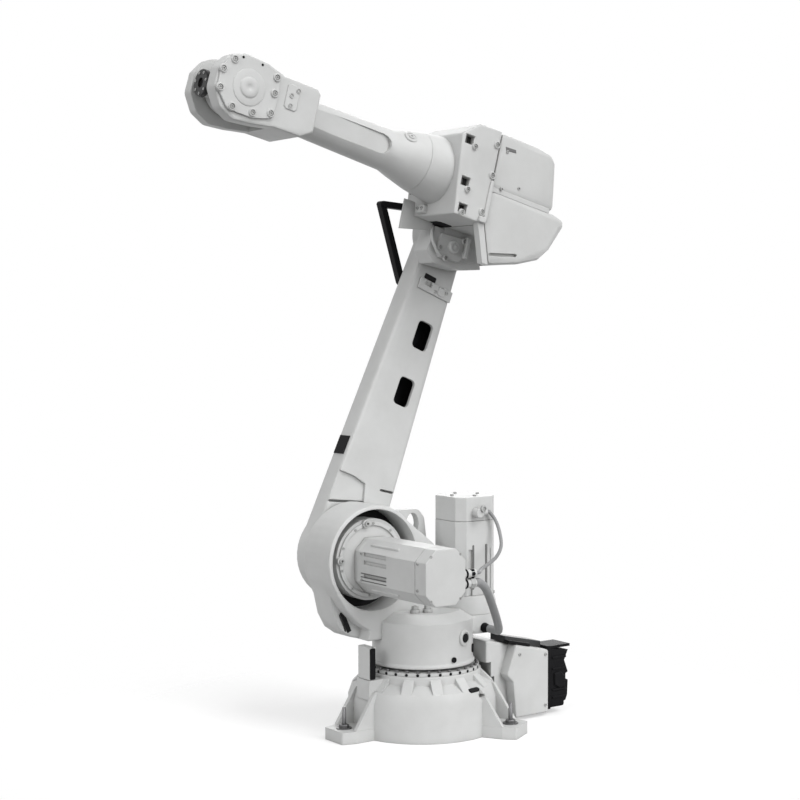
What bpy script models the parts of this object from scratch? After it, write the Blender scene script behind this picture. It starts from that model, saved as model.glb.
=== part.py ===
"""Six-axis industrial robot arm, floor mounted, in its parked pose.

The origin is where the first axis meets the underside of the base. +X is the arm's
forward direction, +Y its left and +Z up. Every length is in metres.
"""

import math

import bmesh
import bpy
from mathutils import Matrix, Vector

MM = 0.001

# Kinematics and rest pose
SHOULDER_FORWARD = 150 * MM
SHOULDER_HEIGHT = 445 * MM
LOWER_ARM_LENGTH = 900 * MM
ELBOW_RISE = 115 * MM
FOREARM_LENGTH = 795 * MM
FLANGE_REACH = 85 * MM
LOWER_ARM_LEAN = math.radians(-22.24)
FOREARM_PITCH = math.radians(-14.28)
WRIST_PITCH = math.radians(-7.6)

# Fits and shared finish
SEAT_GAP = 0.3 * MM
RUNNING_GAP = 6 * MM
OVERRUN = 20 * MM
MERGE_DISTANCE = 0.01 * MM
CASTING_EDGE = 6 * MM
SMALL_EDGE = 2 * MM
LARGE_ROUND_SIDES = 72
ROUND_SIDES = 40
SMALL_ROUND_SIDES = 24
PLUG_SIDES = 16
CORNER_STEPS = 4

# Base casting
SKIRT_RADIUS = 192 * MM
SKIRT_HEIGHT = 90 * MM
SHOULDER_RADIUS = 182 * MM
BASE_SHELF_HEIGHT = 119 * MM
NECK_RADIUS = 150 * MM
NECK_FOOT_HEIGHT = 136 * MM
NECK_HEIGHT = 158 * MM
BASE_RIB_COUNT = 14
BASE_RIB_WIDTH = 28 * MM
BASE_RIB_START = math.radians(15)
FOOT_COUNT = 3
FOOT_REACH = 275 * MM
FOOT_HALF_WIDTH = 50 * MM
FOOT_TIP_HALF_WIDTH = 40 * MM
FOOT_THICKNESS = 30 * MM
FOOT_RIB_WIDTH = 12 * MM
FOOT_RIB_INSET = 1 * MM
FOOT_TIP_LENGTH = 35 * MM
FOOT_HOLE_RADIUS = 10 * MM
FOOT_HOLE_EDGE = 32 * MM
BASE_SLOT_LENGTH = 24 * MM
BASE_SLOT_WIDTH = 9 * MM
BASE_SLOT_DEPTH = 10 * MM
BASE_SLOT_ANGLE = math.radians(107)

# Bolt ring and first-axis bearing
RING_RADIUS = 146 * MM
RING_INNER_RADIUS = 100 * MM
RING_THICKNESS = 8 * MM
BEARING_RADIUS = 94 * MM
DRUM_BASE_HEIGHT = 174 * MM

# Stop post
POST_REACH = 172 * MM
POST_DEPTH = 20 * MM
POST_WIDTH = 50 * MM
POST_OFFSET = 12 * MM
POST_HEIGHT = 232 * MM
POST_GROOVE = 6 * MM
POST_BOSS_RISE = 30 * MM

# Connector housing at the rear of the base
HOUSING_END = 338 * MM
HOUSING_WIDE_START = 226 * MM
HOUSING_WIDE_FOOT = 196 * MM
HOUSING_HALF_WIDTH = 106 * MM
HOUSING_NECK_HALF_WIDTH = 74 * MM
HOUSING_BOTTOM = 8 * MM
HOUSING_TOP_FRONT = 218 * MM
HOUSING_TOP_REAR = 176 * MM
HOUSING_KNEE_HEIGHT = 104 * MM
TOP_PLATE_THICKNESS = 18 * MM
TOP_PLATE_START = 215 * MM
TOP_PLATE_FAR = 10 * MM
TOP_PLATE_NEAR = 72 * MM
END_COVER_THICKNESS = 12 * MM
END_COVER_LIP = 8 * MM
END_ROOF_REACH = 418 * MM
END_ROOF_FAR = 30 * MM
CONNECTOR_END = 401 * MM
POWER_CONNECTOR_NEAR = 98 * MM
POWER_CONNECTOR_WIDTH = 92 * MM
POWER_CONNECTOR_HEIGHT = 140 * MM
POWER_GROOVE = 9 * MM
POWER_GROOVE_SHARES = (0.3, 0.55, 0.8)
SIGNAL_CONNECTOR_RADIUS = 21 * MM
SIGNAL_CONNECTOR_SPACING = 56 * MM
SIGNAL_CONNECTOR_OFFSET = 58 * MM
CLAMP_LENGTH = 72 * MM
CLAMP_WIDTH = 24 * MM
CLAMP_HEIGHT = 9 * MM
CLAMP_START = 208 * MM

# Turning frame. Outlines count from the ring's centre, in shares of its radius; the front's heights are
# shares of the drop to the underside
DRUM_RADIUS = 130 * MM
DRUM_LIP_RADIUS = 134 * MM
DRUM_LIP_HEIGHT = 10 * MM
DRUM_TOP = 286 * MM
DRUM_CROWN = 306 * MM
DRUM_CROWN_RADIUS = 96 * MM
FRAME_NEAR_FACE = 4 * MM
FRAME_WEB_FACE = -36 * MM
FRAME_FAR_FACE = -116 * MM
RING_OUTER_RADIUS = 139 * MM
RING_BORE_RADIUS = 128 * MM
RING_BORE_DEPTH = 72 * MM
FRAME_UNDERSIDE = 240 * MM
RING_START = -20
WEB_START = -25
RING_REAR = 140
RING_FRONT_SHARES = [(0.17, -1.0), (0.11, -0.875), (0.36, -0.766), (0.63, -0.583), (0.81, -0.40)]
WEB_FRONT_SHARES = [(0.11, -1.0), (0.35, -0.956), (0.57, -0.854), (0.71, -0.685), (0.80, -0.427)]
REAR_SLOPE_SHARES = (-1.335, 0.2)
ARM_NEAR_FACE = -122 * MM
SHOULDER_SEAT_RADIUS = 92 * MM
REAR_LOBE_RADIUS = 84 * MM
REAR_LOBE_BOTTOM = 240 * MM
MOTOR_ONE_REACH = 137 * MM
MOTOR_ONE_SEAT = 288 * MM
WEB_SLOT_LENGTH = 52 * MM
WEB_SLOT_WIDTH = 9 * MM
WEB_SLOT_DEPTH = 16 * MM
WEB_SLOT_LEAN = math.radians(24)
WEB_SLOT_SHARES = (0.51, -0.766)
LUG_NEAR = -62 * MM
LUG_FAR = -84 * MM
LUG_CENTRE_SHARES = (-1.17, 0.53)
LUG_HOLE_HALF_WIDTH = 20 * MM
LUG_HOLE_HALF_HEIGHT = 29 * MM
LUG_WALL = 18 * MM
LUG_ROOT = 90 * MM
LUG_CORNER = 22 * MM

# Plugs in the drum: a round one on its boss, an oblong one and a small one
MAIN_PLUG_ANGLE = math.radians(108)
MAIN_PLUG_HEIGHT = 244 * MM
MAIN_PLUG_RADIUS = 11.5 * MM
MAIN_PLUG_BOSS = 20 * MM
OBLONG_PLUG_ANGLE = math.radians(131.5)
OBLONG_PLUG_HEIGHT = 209 * MM
OBLONG_PLUG_RADIUS = 7 * MM
OBLONG_PLUG_STRETCH = 9 * MM
SMALL_PLUG_ANGLE = math.radians(91)
SMALL_PLUG_HEIGHT = 193 * MM
SMALL_PLUG_RADIUS = 7 * MM
PLUG_STAND = 3 * MM
PLUG_SEAT_STAND = 2 * MM
GROMMET_HEIGHT = 254 * MM
GROMMET_RADIUS = 13 * MM
GROMMET_LENGTH = 20 * MM
GROMMET_TIP_SHARE = 0.7

# First-axis motor
MOTOR_ONE_HALF = 64 * MM
MOTOR_ONE_CHAMFER = 21.5 * MM
MOTOR_ONE_FLANGE_TOP = 336 * MM
MOTOR_ONE_BODY = 193 * MM
MOTOR_ONE_CAP = 63 * MM
MOTOR_FIN_DEPTH = 5 * MM
MOTOR_FIN_WIDTH = 12 * MM
MOTOR_FIN_SPACING = 60 * MM
MOTOR_FIN_SHARE = 0.62
MOTOR_PLUG_RADIUS = 12 * MM
MOTOR_PLUG_LENGTH = 22 * MM
MOTOR_PLUG_OFFSET = 14 * MM
MOTOR_PLUG_LEVEL = 23 * MM
PLUG_ELBOW_SHARE = 0.6
MOTOR_CABLE_RADIUS = 4.5 * MM
MOTOR_HOSE_RADIUS = 10.5 * MM

# Second-axis gear and motor
GEAR_RADIUS = 104 * MM
GEAR_RIM_RADIUS = 96 * MM
GEAR_RIM_WALL = 10 * MM
GEAR_RIM_HEIGHT = 4 * MM
GEAR_FACE = -14 * MM
GEAR_BOSS_RADIUS = 11 * MM
GEAR_BOSS_HEIGHT = 8 * MM
GEAR_BOSS_ANGLES = (math.radians(80), math.radians(2))
MOTOR_TWO_CENTRE = (-13 * MM, -13 * MM)
MOTOR_TWO_HALF_WIDTH = 60 * MM
MOTOR_TWO_HALF_HEIGHT = 68.5 * MM
MOTOR_TWO_CHAMFER = 30 * MM
MOTOR_TWO_SPLIT = 238 * MM
MOTOR_TWO_CAP = 44 * MM
MOTOR_GROOVE_DEPTH = 4 * MM
MOTOR_GROOVE_HEIGHT = 9 * MM
MOTOR_GROOVE_START = 22 * MM
MOTOR_GROOVE_LENGTH = 96 * MM
MOTOR_GROOVE_LEVEL_SHARES = (0.42, 0.12, -0.38)
MOTOR_TWO_PLUG_RADIUS = 11 * MM
MOTOR_TWO_PLUG_LEVEL_SHARES = (0.0, -0.35)

# Lower arm, in its own frame: origin on axis 2, Z along it
ARM_FAR_FACE = -190 * MM
COLUMN_NEAR_FACE = -123 * MM
COLUMN_FAR_FACE = -189 * MM
ARM_HUB_RADIUS = 114 * MM
ARM_TOP_RADIUS = 88 * MM
ARM_ROOT_HALF_WIDTH = 103 * MM
ARM_HEAD_HALF_WIDTH = 61 * MM
ARM_CENTRE = 10 * MM
ARM_WALL = 9 * MM
ARM_OPENING_LENGTH = 76 * MM
ARM_OPENING_WIDTH = 50 * MM
ARM_OPENING_CORNER = 12 * MM
ARM_OPENING_MIDDLES = (453 * MM, 612 * MM)
ARM_CAVITY_LOW = 340 * MM
ARM_CAVITY_HIGH = 700 * MM
ARM_POCKET_DEPTH = 8 * MM
ARM_POCKET_SHARES = [(0.92, 1.02), (0.90, 1.72), (0.50, 1.72), (0.14, 1.65), (0.03, 1.28)]
ARM_SLOT_HEIGHT = 6 * MM
ARM_SLOT_DEPTH = 18 * MM
ARM_SLOT_SHARES = [(0.90, 0.99), (0.04, 1.24)]
ARM_TICK_SHARES = [(-0.32, 1.65), (-0.66, 1.70)]
ARM_COVER_THICKNESS = 12 * MM
LOWER_HUB_COVER_RADIUS = 74 * MM
ELBOW_HUB_COVER_RADIUS = 58 * MM
FRONT_PLUG_ALONG = 264 * MM
FRONT_PLUG_LENGTH = 50 * MM
FRONT_PLUG_WIDTH = 44 * MM
FRONT_PLUG_STAND = 2 * MM
CLIP_DROP = 160 * MM
CLIP_LENGTH = 30 * MM
CLIP_WIDTH = 112 * MM
CLIP_THICKNESS = 6 * MM
CLIP_NOTCH = 16 * MM

# Hose guide on the lower arm's outer side, its places counted from the arm's upper centre
GUIDE_CORNER = (191 * MM, 8 * MM)
GUIDE_TOP = (50 * MM, 55 * MM)
GUIDE_TIP = (56 * MM, -158 * MM)
GUIDE_WIDTH = 17 * MM
GUIDE_STANDOFF = 6 * MM
GUIDE_THICKNESS = 22 * MM
GUIDE_FOOT_RADIUS = 5 * MM

# Elbow housing, in its own frame: origin on axis 3, X along the forearm
HOUSE_NEAR_FACE = 104 * MM
HOUSE_FAR_FACE = -108 * MM
HOUSE_FRONT = 196 * MM
HOUSE_SPLIT = 72 * MM
HOUSE_TOP = 244 * MM
HOUSE_FRONT_BOTTOM = -4 * MM
HOUSE_BOTTOM = -100 * MM
HOUSE_REAR_UPPER = -146 * MM
HOUSE_REAR_LOWER = -192 * MM
HOUSE_COVER_SPLIT = 92 * MM
HOUSE_WALL = 22 * MM
HOUSE_ROOM_BACK = -70 * MM
COVER_EDGE = 16 * MM
CASTING_TOP_SHARES = [(0.73, 0.985), (1.0, 0.82)]
CASTING_CHIN_SHARE = 0.88
STRIP_WIDTH = 20 * MM
STRIP_LEAN = 38 * MM
UPPER_REAR_SHARES = [(0.38, 1.0), (0.74, 0.98), (0.84, 0.90), (0.93, 0.62)]
LOWER_REAR_SHARES = [(1.0, 0.82), (0.98, 0.6), (0.82, -0.08), (0.68, -0.40), (0.34, -0.70)]
FLANGE_POCKET_LENGTH = 26 * MM
FLANGE_POCKET_HEIGHT = 22 * MM
FLANGE_POCKET_DEPTH = 14 * MM
FLANGE_POCKET_LEVELS = (190 * MM, 84 * MM, 16 * MM)
FLANGE_POCKET_INSET = 12 * MM
COVER_SLOT_LENGTH = 92 * MM
COVER_SLOT_WIDTH = 8 * MM
COVER_SLOT_DEPTH = 9 * MM
COVER_SLOT_START = (34 * MM, -72 * MM)
COVER_SLOT_LEAN = math.radians(166)
NECK_ROOT = 176 * MM
NECK_SEAM = 252 * MM
NECK_ROOT_RADIUS = 88 * MM
NECK_SEAM_RADIUS = 76 * MM
GEAR_THREE_RADIUS = 78 * MM
GEAR_THREE_FACE = -54 * MM
GEAR_THREE_BLOCK = 99 * MM
GEAR_THREE_OUTLINE_SHARES = [(0.0, -1.0), (0.94, -1.06), (1.21, -0.78), (1.08, -0.09), (-0.3, -0.09),
                             (-0.64, -0.82)]
GEAR_THREE_PAD_SHARES = [(0.2, -0.84), (0.86, -0.88), (0.98, -0.70), (0.9, -0.24), (0.1, -0.2),
                         (-0.2, -0.4)]
GEAR_THREE_STEP = 8 * MM
GEAR_THREE_BOSS_RADIUS = 15.5 * MM
GEAR_THREE_BOSS = (46 * MM, -50 * MM)
BRACKET_THICKNESS = 4 * MM
BRACKET_FACE = -58 * MM
BRACKET_REACH = 44 * MM
BRACKET_RISE = 36 * MM
BRACKET_DROP = 43 * MM
BRACKET_LENGTH = 55 * MM

# Forearm and wrist, in their own frame: origin on axis 4, X along it
TUBE_ROOT = 345 * MM
TUBE_FLARE = 312 * MM
TUBE_FLARE_RADIUS = 62 * MM
TUBE_ROOT_RADIUS = 53 * MM
TUBE_END_DROP = 155 * MM
TUBE_END_RADIUS = 46 * MM
TUBE_FLAT_START = 362 * MM
TUBE_FLAT_END_DROP = 197 * MM
TUBE_FLAT_HALF_WIDTH = 24 * MM
TUBE_FLAT_OFFSET = 42 * MM
FORK_RADIUS = 82 * MM
FORK_HALF_WIDTH = 73 * MM
FORK_CORNER = 22 * MM
FORK_SLOT_HALF = 38 * MM
FORK_SLOT_DEPTH = 84 * MM
WRIST_TOP_SHARES = [(-2.50, 0.50), (-2.24, 0.72), (-1.12, 0.71), (-0.50, 0.88), (0.25, 0.91), (0.75, 0.72)]
WRIST_FRONT_SHARES = [(1.03, 0.27), (1.05, -0.34), (0.73, -0.83), (0.27, -1.04), (-0.37, -0.97)]
WRIST_ROOT_SHARES = [(-1.11, -0.83), (-1.98, -0.81), (-2.46, -0.52)]
WRIST_WAIST_LENGTH = 60 * MM
WRIST_WAIST_HALF = 50 * MM
WRIST_COVER_RADIUS = 78 * MM
WRIST_COVER_THICKNESS = 5 * MM
WRIST_COVER_SHARES = [(1.02, 0.32), (1.03, -0.34), (0.55, -0.86), (-0.32, -0.86), (-0.98, -0.66),
                      (-1.04, 0.10), (-0.96, 0.66), (-0.30, 0.84), (0.36, 0.86), (0.80, 0.66)]
WRIST_DISC_RADIUS = 24 * MM
WRIST_DISC_STAND = 2 * MM
TILT_RADIUS = 58 * MM
TILT_HALF_WIDTH = 32 * MM
TILT_NECK_RADIUS = 30 * MM
FLANGE_RADIUS = 32.5 * MM
FLANGE_THICKNESS = 13 * MM
FLANGE_BORE = 12 * MM

# Cable routes, chosen point by point, in millimetres from the part's origin
MOTOR_ONE_CABLE = [(-151.3, 74.3, 552.3), (-156, 74.3, 552.3), (-161, 74.3, 552.3), (-175, 82, 530),
                   (-179, 94, 500),
                   (-168, 114, 466), (-112, 160, 445), (-26, 216, 433), (12, 254, 432), (22, 260, 432),
                   (27, 260, 432), (32.4, 260, 432)]
MOTOR_TWO_CABLE = [(32.4, 260, 408), (26, 260, 408), (19, 260, 408), (-10, 250, 388), (-50, 227, 338),
                   (-96, 190, 286), (-126, 156, 258), (-137, 124, 254), (-137, 114, 254),
                   (-137, 104.6, 254)]

PAINT = ("robot_paint", (0.62, 0.62, 0.61), 0.38, 0.0)
DARK_PAINT = ("dark_plate", (0.10, 0.10, 0.105), 0.5, 0.0)
BLACK = ("black_plastic", (0.015, 0.015, 0.016), 0.55, 0.0)
STEEL = ("dark_steel", (0.05, 0.05, 0.055), 0.35, 0.8)
CABLE = ("cable_grey", (0.45, 0.45, 0.46), 0.5, 0.0)

materials = {}
parts = None
tools = None


def start_scene():
    """Empty the scene and make the two collections."""
    global parts, tools
    for item in list(bpy.data.objects):
        bpy.data.objects.remove(item, do_unlink=True)
    parts = bpy.data.collections.new("robot_arm")
    tools = bpy.data.collections.new("cutters")
    for group in (parts, tools):
        bpy.context.scene.collection.children.link(group)


def finish_material(finish):
    """The Principled material of a finish, made once."""
    name, colour, roughness, metallic = finish
    if name not in materials:
        material = bpy.data.materials.new(name)
        material.use_nodes = True
        shader = material.node_tree.nodes["Principled BSDF"]
        shader.inputs["Base Color"].default_value = (*colour, 1.0)
        shader.inputs["Roughness"].default_value = roughness
        shader.inputs["Metallic"].default_value = metallic
        material.diffuse_color = (*colour, 1.0)
        materials[name] = material
    return materials[name]


def frame_at(name, place, pitch=0.0, parent=None):
    """An empty that carries one moving body: placed, then pitched about Y."""
    empty = bpy.data.objects.new(name, None)
    parts.objects.link(empty)
    empty.location = place
    empty.rotation_euler = (0.0, pitch, 0.0)
    empty.parent = parent
    return empty


def new_item(name, mesh, body):
    """A mesh object on a body's frame, first kept among the cutters."""
    item = bpy.data.objects.new(name, mesh)
    tools.objects.link(item)
    item.parent = body
    item.hide_render = True
    item.display_type = "WIRE"
    return item


def finish_part(item, finish):
    """Turn a shaped object into a sub-part of the robot."""
    tools.objects.unlink(item)
    parts.objects.link(item)
    item.hide_render = False
    item.display_type = "TEXTURED"
    item.data.materials.clear()
    item.data.materials.append(finish_material(finish))
    item.data.shade_smooth()
    item.data.set_sharp_from_angle(angle=math.radians(30))
    return item


def block(name, body, x_range, y_range, z_range, edge=0.0):
    """A box between two places on each axis, with its edges rounded."""
    shape = bmesh.new()
    bmesh.ops.create_cube(shape, size=1.0)
    ranges = (x_range, y_range, z_range)
    size = [high - low for low, high in ranges]
    centre = [(high + low) / 2 for low, high in ranges]
    bmesh.ops.scale(shape, vec=size, verts=shape.verts)
    bmesh.ops.translate(shape, vec=centre, verts=shape.verts)
    mesh = bpy.data.meshes.new(name)
    shape.to_mesh(mesh)
    shape.free()
    return soften(new_item(name, mesh, body), edge)


def soften(item, edge, segments=2):
    """Round an object's sharp edges with a Bevel modifier."""
    if edge > 0:
        bevel = item.modifiers.new("edge", "BEVEL")
        bevel.width = edge
        bevel.segments = segments
        bevel.limit_method = "ANGLE"
        bevel.angle_limit = math.radians(40)
    return item


TURNS = {"X": Matrix.Rotation(math.pi / 2, 4, "Y"), "Y": Matrix.Rotation(-math.pi / 2, 4, "X"),
         "Z": Matrix.Identity(4)}


def rod(name, body, axis, centre, radius, low, high, radius_high=None, sides=ROUND_SIDES, edge=0.0):
    """A cylinder or cone along one axis, from low to high, about a centre in the other two."""
    shape = bmesh.new()
    bmesh.ops.create_cone(shape, cap_ends=True, segments=sides, radius1=radius,
                          radius2=radius if radius_high is None else radius_high, depth=high - low)
    bmesh.ops.translate(shape, vec=(0.0, 0.0, (high + low) / 2), verts=shape.verts)
    bmesh.ops.transform(shape, matrix=TURNS[axis], verts=shape.verts)
    a, b = centre
    shift = {"X": (0.0, a, b), "Y": (a, 0.0, b), "Z": (a, b, 0.0)}[axis]
    bmesh.ops.translate(shape, vec=shift, verts=shape.verts)
    mesh = bpy.data.meshes.new(name)
    shape.to_mesh(mesh)
    shape.free()
    return soften(new_item(name, mesh, body), edge)


def rounded(outline, radius, steps=CORNER_STEPS):
    """An outline with an arc of one radius, or of each point's own, at every corner."""
    points = [Vector(point) for point in outline]
    radii = radius if isinstance(radius, (list, tuple)) else [radius] * len(points)
    result = []
    for index, corner in enumerate(points):
        before = (points[index - 1] - corner).normalized()
        after = (points[(index + 1) % len(points)] - corner).normalized()
        half = before.angle(after) / 2
        if radii[index] <= 0 or half > math.radians(88):
            result.append(corner)
            continue
        reach = radii[index] / math.tan(half)
        centre = corner + (before + after).normalized() * (radii[index] / math.sin(half))
        start = (corner + before * reach) - centre
        end = (corner + after * reach) - centre
        sweep = start.angle_signed(end)
        for step in range(steps + 1):
            spoke = start.copy()
            spoke.rotate(Matrix.Rotation(-sweep * step / steps, 2))
            result.append(centre + spoke)
    return result


def arc(centre, radius, start, end, steps=16):
    """Points on an arc between two angles in degrees."""
    angles = [math.radians(start + (end - start) * step / steps) for step in range(steps + 1)]
    return [(centre[0] + radius * math.cos(angle),
             centre[1] + radius * math.sin(angle)) for angle in angles]


def plate(name, body, outline, low, high, plane="XZ", edge=0.0):
    """A flat outline with thickness: a filled 2D curve, made a mesh and stood in its plane."""
    curve = bpy.data.curves.new(name, "CURVE")
    curve.dimensions = "2D"
    curve.fill_mode = "BOTH"
    curve.extrude = (high - low) / 2
    spline = curve.splines.new("POLY")
    spline.points.add(len(outline) - 1)
    for point, (a, b) in zip(spline.points, outline):
        point.co = (a, b, 0.0, 1.0)
    spline.use_cyclic_u = True
    flat = bpy.data.objects.new(name, curve)
    tools.objects.link(flat)
    bpy.context.view_layer.update()
    evaluated = flat.evaluated_get(bpy.context.evaluated_depsgraph_get())
    mesh = bpy.data.meshes.new_from_object(evaluated)
    bpy.data.objects.remove(flat, do_unlink=True)
    shape = bmesh.new()
    shape.from_mesh(mesh)
    bmesh.ops.remove_doubles(shape, verts=shape.verts, dist=MERGE_DISTANCE)
    bmesh.ops.dissolve_limit(shape, angle_limit=math.radians(0.5), verts=shape.verts, edges=shape.edges)
    middle = (high + low) / 2
    stand = {"XY": Matrix.Translation((0.0, 0.0, middle)),
             "XZ": Matrix.Translation((0.0, middle, 0.0)) @ Matrix.Rotation(math.pi / 2, 4, "X"),
             "YZ": Matrix.Translation((middle, 0.0, 0.0)) @ Matrix.Rotation(math.pi / 2, 4, "Z")
             @ Matrix.Rotation(math.pi / 2, 4, "X")}[plane]
    bmesh.ops.transform(shape, matrix=stand, verts=shape.verts)
    bmesh.ops.recalc_face_normals(shape, faces=shape.faces)
    shape.to_mesh(mesh)
    shape.free()
    return soften(new_item(name, mesh, body), edge)


def turned(name, body, profile, axis="Z", centre=(0.0, 0.0), sides=ROUND_SIDES):
    """A profile of (radius, height) points from the axis's top to its foot, spun by a Screw."""
    mesh = bpy.data.meshes.new(name)
    mesh.from_pydata([(radius, 0.0, height) for radius, height in profile],
                     [(index, index + 1) for index in range(len(profile) - 1)], [])
    flat = bpy.data.objects.new(name, mesh)
    tools.objects.link(flat)
    screw = flat.modifiers.new("spin", "SCREW")
    screw.steps = sides
    screw.render_steps = sides
    screw.use_merge_vertices = True
    screw.merge_threshold = 0.00001
    bpy.context.view_layer.update()
    evaluated = flat.evaluated_get(bpy.context.evaluated_depsgraph_get())
    spun = bpy.data.meshes.new_from_object(evaluated)
    bpy.data.objects.remove(flat, do_unlink=True)
    shape = bmesh.new()
    shape.from_mesh(spun)
    bmesh.ops.remove_doubles(shape, verts=shape.verts, dist=MERGE_DISTANCE)
    bmesh.ops.transform(shape, matrix=TURNS[axis], verts=shape.verts)
    a, b = centre
    shift = {"X": (0.0, a, b), "Y": (a, 0.0, b), "Z": (a, b, 0.0)}[axis]
    bmesh.ops.translate(shape, vec=shift, verts=shape.verts)
    bmesh.ops.recalc_face_normals(shape, faces=shape.faces)
    shape.to_mesh(spun)
    shape.free()
    return new_item(name, spun, body)


def combine(item, others, operation):
    """Join or cut with exact Booleans, one for each tool."""
    for other in others:
        step = item.modifiers.new(operation.lower(), "BOOLEAN")
        step.operation = operation
        step.solver = "EXACT"
        step.object = other
    return item


def join(item, *others):
    return combine(item, others, "UNION")


def cut(item, *others):
    return combine(item, others, "DIFFERENCE")


def turned_copies(item, count, first_angle=0.0, step=None):
    """Copies of an object's mesh, turned about Z by equal steps."""
    angle = 2 * math.pi / count if step is None else step
    copies = []
    for index in range(count):
        mesh = item.data.copy()
        mesh.transform(Matrix.Rotation(first_angle + angle * index, 4, "Z"))
        copy = new_item(item.name + "_" + str(index + 1), mesh, item.parent)
        for modifier in item.modifiers:
            twin = copy.modifiers.new(modifier.name, modifier.type)
            for value in ("width", "segments", "limit_method", "angle_limit"):
                setattr(twin, value, getattr(modifier, value))
        copies.append(copy)
    bpy.data.objects.remove(item, do_unlink=True)
    return copies


def shared(shares, size_a, size_b=None, centre=(0.0, 0.0)):
    """Points at shares of one or two sizes from a centre."""
    scale_b = size_a if size_b is None else size_b
    return [(centre[0] + a * size_a, centre[1] + b * scale_b) for a, b in shares]


def capsule(start, end, radius, steps=4):
    """A stadium outline: a straight stretch between two half circles."""
    heading = math.degrees(math.atan2(end[1] - start[1], end[0] - start[0]))
    return (arc(end, radius, heading - 90, heading + 90, steps)
            + arc(start, radius, heading + 90, heading + 270, steps))


def turned_about_z(item, angle):
    item.data.transform(Matrix.Rotation(angle, 4, "Z"))
    return item


def cable(name, body, route, radius, finish):
    """A round cable that follows a smooth curve through its route's points."""
    anchors = [Vector(point) * MM for point in route]
    padded = [2 * anchors[0] - anchors[1]] + anchors + [2 * anchors[-1] - anchors[-2]]
    points = []
    for index in range(len(anchors) - 1):
        a, b, c, d = padded[index:index + 4]
        for share in (0.0, 0.5):
            points.append(0.5 * (2 * b + (c - a) * share + (2 * a - 5 * b + 4 * c - d) * share ** 2
                                 + (3 * b - a - 3 * c + d) * share ** 3))
    points.append(anchors[-1])
    curve = bpy.data.curves.new(name, "CURVE")
    curve.dimensions = "3D"
    curve.bevel_depth = radius
    curve.bevel_resolution = 2
    curve.use_fill_caps = True
    spline = curve.splines.new("POLY")
    spline.points.add(len(points) - 1)
    for spot, point in zip(spline.points, points):
        spot.co = (*point, 1.0)
    item = bpy.data.objects.new(name, curve)
    parts.objects.link(item)
    item.parent = body
    curve.materials.append(finish_material(finish))
    return item


def base_foot(base):
    """One foot: a tapered pad with two sloping ribs that leave a bolt pocket between them."""
    inner = NECK_RADIUS - OVERRUN
    taper = FOOT_REACH - FOOT_TIP_LENGTH
    outline = [(inner, -FOOT_HALF_WIDTH), (taper, -FOOT_HALF_WIDTH), (FOOT_REACH, -FOOT_TIP_HALF_WIDTH),
               (FOOT_REACH, FOOT_TIP_HALF_WIDTH), (taper, FOOT_HALF_WIDTH), (inner, FOOT_HALF_WIDTH)]
    radii = [0.0, CASTING_EDGE, CASTING_EDGE, CASTING_EDGE, CASTING_EDGE, 0.0]
    pad = plate("foot_pad", base, rounded(outline, radii), 0.0, FOOT_THICKNESS, "XY")
    top = BASE_SHELF_HEIGHT + SMALL_EDGE
    slope = [(inner, FOOT_THICKNESS / 2), (taper, FOOT_THICKNESS / 2), (taper, FOOT_THICKNESS),
             (SHOULDER_RADIUS, top), (inner, top)]
    outer = FOOT_HALF_WIDTH - FOOT_RIB_INSET
    ribs = [plate("foot_rib", base, slope, low, low + FOOT_RIB_WIDTH)
            for low in (-outer, outer - FOOT_RIB_WIDTH)]
    hole = rod("foot_hole", base, "Z", (FOOT_REACH - FOOT_HOLE_EDGE, 0.0), FOOT_HOLE_RADIUS, -OVERRUN,
               FOOT_THICKNESS + OVERRUN, sides=PLUG_SIDES)
    return pad, ribs, hole


def shelf_rib(base):
    """One wide rib of the shelf, from the bolt ring's seat down to the skirt's shoulder."""
    inner = NECK_RADIUS - OVERRUN
    outer = SHOULDER_RADIUS - SMALL_EDGE
    foot = BASE_SHELF_HEIGHT - OVERRUN
    outline = [(inner, foot), (outer, foot), (outer, BASE_SHELF_HEIGHT + SMALL_EDGE),
               (NECK_RADIUS - SMALL_EDGE, NECK_HEIGHT - CASTING_EDGE), (inner, NECK_HEIGHT - CASTING_EDGE)]
    return plate("shelf_rib", base, outline, -BASE_RIB_WIDTH / 2, BASE_RIB_WIDTH / 2)


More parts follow.
